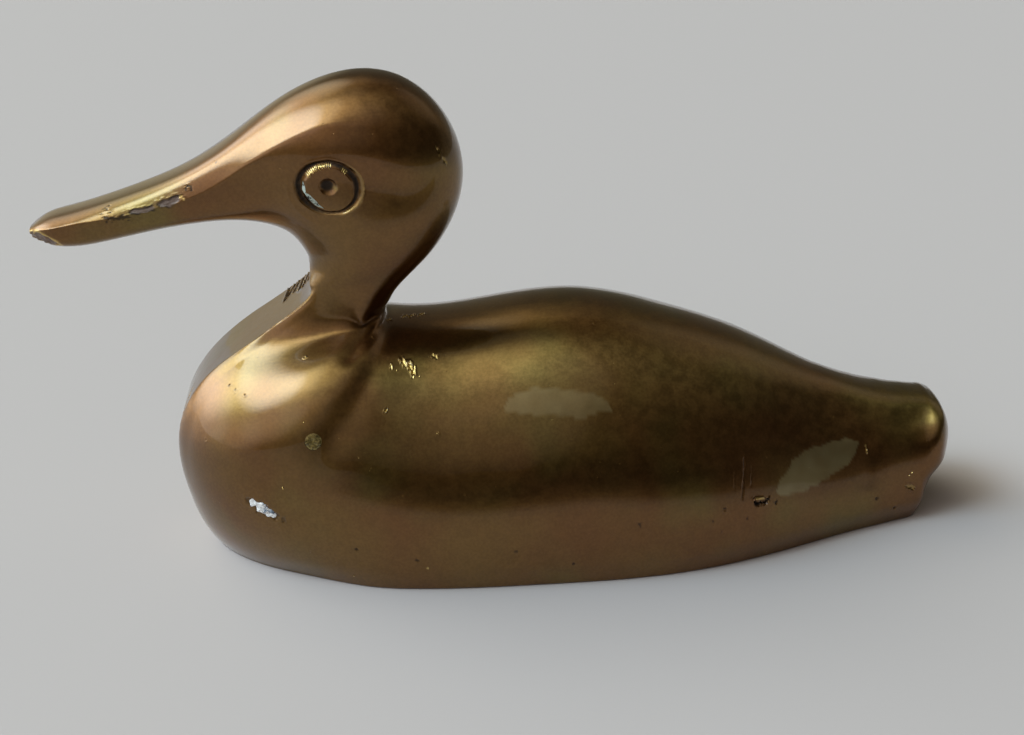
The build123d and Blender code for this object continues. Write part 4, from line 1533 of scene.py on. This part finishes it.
class DUCK_OT_burrs(bpy.types.Operator):
    """Sets the small burrs round the eyes, beside the file's cuts and on the body's skin"""
    bl_idname = "duck.burrs"
    bl_label = "Burrs and nibs"

    def execute(self, context):
        scene = context.scene
        size, colours = lengths(scene), scene.duck_colours
        # Brass that a tool tore up: bare, bright and sharply shining.
        bright = plain_metal("bright_burr_brass", 0.22, 0.01, colours.fresh_brass, colours.toned_brass)
        ways = [(math.cos(2.4 * i), 0, math.sin(2.4 * i)) for i in range(len(NIBS))]
        # The numbers are a burr's length, width and height, and how much they vary.
        for i, (name, casting, places, *shape) in enumerate((
                ("eye_chatter_burrs", "head_casting", eye_rim_places(size), 0.42, 0.12, 0.14, 0.3),
                ("file_burrs", "head_casting", neck_burr_places(size), 0.55, 0.10, 0.10, 0.4),
                ("casting_nibs", "body_casting", (NIBS, ways), 0.34, 0.20, 0.20, 0.35))):
            cloud = points_with_frames(surface_of(casting), *places)
            place_piece(burrs(name, cloud, bright, *shape, size.seed + i), bright, None)
        return {"FINISHED"}


def toward(azimuth, elevation):
    """A direction from the duck, given from square on and from level, in degrees."""
    a, e = math.radians(azimuth), math.radians(elevation)
    return Vector((math.sin(a) * math.cos(e), -math.cos(a) * math.cos(e), math.sin(e)))


# Parts of the dim room that the duck mirrors softly: azimuth, elevation, how many
# degrees from their middle they have faded out, and colour.
ROOM_GLOWS = [
    (-110, 27, 26, (5.0, 5.5, 5.6)),
    (-100, 8, 24, (2.0, 2.1, 2.1)),
    (-80, 46, 20, (7.6, 10.2, 12.2)),
    (-66, 60, 18, (2.4, 2.5, 2.0)),
    (-135, 47, 26, (2.3, 2.25, 1.9)),
    (-46, 44, 27, (0.55, 0.52, 0.52)),
    (-50, 26, 26, (1.1, 1.05, 1.15)),
    (-70, 8, 26, (1.2, 1.2, 1.1)),
    (-12, 26, 28, (0.38, 0.36, 0.32)),
    (-30, 8, 24, (0.26, 0.20, 0.12)),
    (-152, 8, 26, (0.50, 0.44, 0.30)),
    (112, 40, 26, (0.34, 0.31, 0.24)),
    (4, 55, 26, (0.42, 0.38, 0.32)),
    (-85, 76, 22, (0.40, 0.39, 0.28)),
]
# Behind, the room is a little brighter, up to where the ceiling's dark edge starts.
# That is an elevation in degrees, and how soft the edge is.
BACK_EDGE = 62
BACK_SOFTNESS = 0.006
ROOM_BACK = (0.10, 0.092, 0.066)
ROOM_DARK = (0.010, 0.008, 0.006)


def room_light(tree):
    """The dim room's colour in every direction."""
    way = add_node(tree, "ShaderNodeTexCoord").outputs["Generated"]
    edge = math.radians(BACK_EDGE)
    under_edge = Vector((0, math.sin(edge), -math.cos(edge)))
    parts = [(under_edge, -BACK_SOFTNESS, BACK_SOFTNESS, [b - d for b, d in zip(ROOM_BACK, ROOM_DARK)])]
    parts += [(toward(azimuth, elevation), math.cos(math.radians(faded)), 1.0, tint)
              for azimuth, elevation, faded, tint in ROOM_GLOWS]
    colour = ROOM_DARK
    for middle, low, high, tint in parts:
        facing = add_node(tree, "ShaderNodeVectorMath", {0: way, 1: middle}, operation="DOT_PRODUCT")
        share = add_node(tree, "ShaderNodeMapRange", {
            "Value": facing.outputs["Value"], "From Min": low, "From Max": high},
            interpolation_type="SMOOTHSTEP")
        glow = add_node(tree, "ShaderNodeVectorMath", {0: tint, "Scale": share.outputs["Result"]},
                        operation="SCALE")
        colour = add_node(tree, "ShaderNodeVectorMath", {0: colour, 1: glow.outputs[0]},
                          operation="ADD").outputs[0]
    return colour


# A dim screen in front of the duck, a dark sheet that paints the shade on the far floor into what the duck
# mirrors:
# where it stands, its two ends, its height, and the stretches at its left end and its foot over which it
# fades in.
SCREEN_Y, SCREEN_ENDS, SCREEN_HEIGHT, SCREEN_FADE, SCREEN_FOOT = -80, (-60, 170), 26, 50, 7
SCREEN_COLOUR = (0.012, 0.010, 0.008)


def dim_screen():
    """Keeps the far floor in front out of what the duck mirrors. Only mirrored light meets it."""
    material, tree = new_material("dim_screen_painted_shade")
    place = add_node(tree, "ShaderNodeTexCoord").outputs["Object"]
    place = add_node(tree, "ShaderNodeSeparateXYZ", {0: place})
    left, right = SCREEN_ENDS
    shares = [add_node(tree, "ShaderNodeMapRange", {"Value": place.outputs[axis], "From Min": start * MM,
                                                    "From Max": (start + fade) * MM},
                       interpolation_type="SMOOTHSTEP").outputs["Result"]
              for axis, start, fade in (("X", left, SCREEN_FADE), ("Z", 0, SCREEN_FOOT))]
    solid = add_node(tree, "ShaderNodeMath", {0: shares[0], 1: shares[1]}, operation="MULTIPLY").outputs[0]
    shader = add_node(tree, "ShaderNodeBsdfPrincipled", {
        "Base Color": rgba(SCREEN_COLOUR), "Roughness": 0.9, "Specular IOR Level": 0.0, "Alpha": solid})
    add_node(tree, "ShaderNodeOutputMaterial", {"Surface": shader.outputs[0]})
    mesh = bpy.data.meshes.new("dim_screen")
    corners = [(x * MM, SCREEN_Y * MM, z * MM) for x, z in ((left, 0), (right, 0), (right, SCREEN_HEIGHT),
                                                            (left, SCREEN_HEIGHT))]
    mesh.from_pydata(corners, [], [(0, 1, 2, 3)])
    mesh.materials.append(material)
    screen = add_object("dim_screen", mesh)
    screen.visible_camera = screen.visible_diffuse = screen.visible_shadow = False


FLOOR_RADIUS = 8.0
# How far beside the origin the camera aims, in metres.
CAMERA_AIM_X = 0.00006


class DUCK_OT_stage(bpy.types.Operator):
    """Sets the plain floor, the room's soft light, a dim screen and the camera"""
    bl_idname = "duck.stage"
    bl_label = "Stage"

    def execute(self, context):
        scene = context.scene
        stage = scene.duck_stage
        floor, tree = new_material("plain_pale_floor")
        shader = add_node(tree, "ShaderNodeBsdfPrincipled", {
            "Base Color": rgba(stage.floor_colour), "Roughness": 0.75, "Specular IOR Level": 0.3})
        add_node(tree, "ShaderNodeOutputMaterial", {"Surface": shader.outputs[0]})
        bm = bmesh.new()
        bmesh.ops.create_circle(bm, cap_ends=True, segments=96, radius=FLOOR_RADIUS)
        mesh = bpy.data.meshes.new("plain_floor")
        bm.to_mesh(mesh)
        bm.free()
        mesh.materials.append(floor)
        add_object("plain_floor", mesh)

        dim_screen()

        world = bpy.data.worlds.new("dim_room")
        scene.world = world
        world.use_nodes = True
        tree = world.node_tree
        tree.nodes.clear()
        background = add_node(tree, "ShaderNodeBackground", {
            "Color": room_light(tree), "Strength": stage.room_strength})
        add_node(tree, "ShaderNodeOutputWorld", {"Surface": background.outputs[0]})

        data = bpy.data.cameras.new("camera")
        data.sensor_width = 36.0
        data.lens = data.sensor_width / 2 / math.tan(stage.view_angle / 2)
        data.clip_start = 0.01
        camera = add_object("camera", data)
        away = toward(math.degrees(stage.camera_azimuth), math.degrees(stage.camera_elevation))
        camera.location = Vector((CAMERA_AIM_X, 0, stage.camera_height)) + away * stage.camera_distance
        camera.rotation_euler = away.to_track_quat("Z", "Y").to_euler()
        scene.camera = camera
        scene.view_settings.view_transform = "Standard"
        return {"FINISHED"}


PIECE_OPERATORS = ("body_casting", "head_casting", "neck_braze_metal", "core_pin_plugs", "deposits", "burrs")


class DUCK_PT_sidebar(bpy.types.Panel):
    """Lists the duck's pieces and the stage"""
    bl_idname = "DUCK_PT_sidebar"
    bl_label = "Brass Duck"
    bl_space_type = "VIEW_3D"
    bl_region_type = "UI"
    bl_category = "Brass Duck"

    def draw(self, context):
        for group in ("duck_sizes", "duck_colours", "duck_marks", "duck_stage"):
            box = self.layout.box()
            settings = getattr(context.scene, group)
            for item in settings.bl_rna.properties:
                if item.identifier not in {"rna_type", "name"}:
                    box.prop(settings, item.identifier)
        for name in (*PIECE_OPERATORS, "stage"):
            self.layout.operator("duck." + name)


GROUPS = {"duck_sizes": DuckSizes, "duck_colours": DuckColours, "duck_marks": MarkSettings,
          "duck_stage": StageSettings}
CLASSES = (*GROUPS.values(), DUCK_OT_body_casting, DUCK_OT_head_casting, DUCK_OT_neck_braze_metal,
           DUCK_OT_core_pin_plugs, DUCK_OT_deposits, DUCK_OT_burrs, DUCK_OT_stage, DUCK_PT_sidebar)


def register():
    for cls in CLASSES:
        bpy.utils.register_class(cls)
    for name, group in GROUPS.items():
        setattr(bpy.types.Scene, name, PointerProperty(type=group))


def unregister():
    for name in GROUPS:
        delattr(bpy.types.Scene, name)
    for cls in reversed(CLASSES):
        bpy.utils.unregister_class(cls)


def main():
    register()
    for name in PIECE_OPERATORS:
        getattr(bpy.ops.duck, name)()
    bpy.ops.duck.stage()


if __name__ == "__main__":
    main()
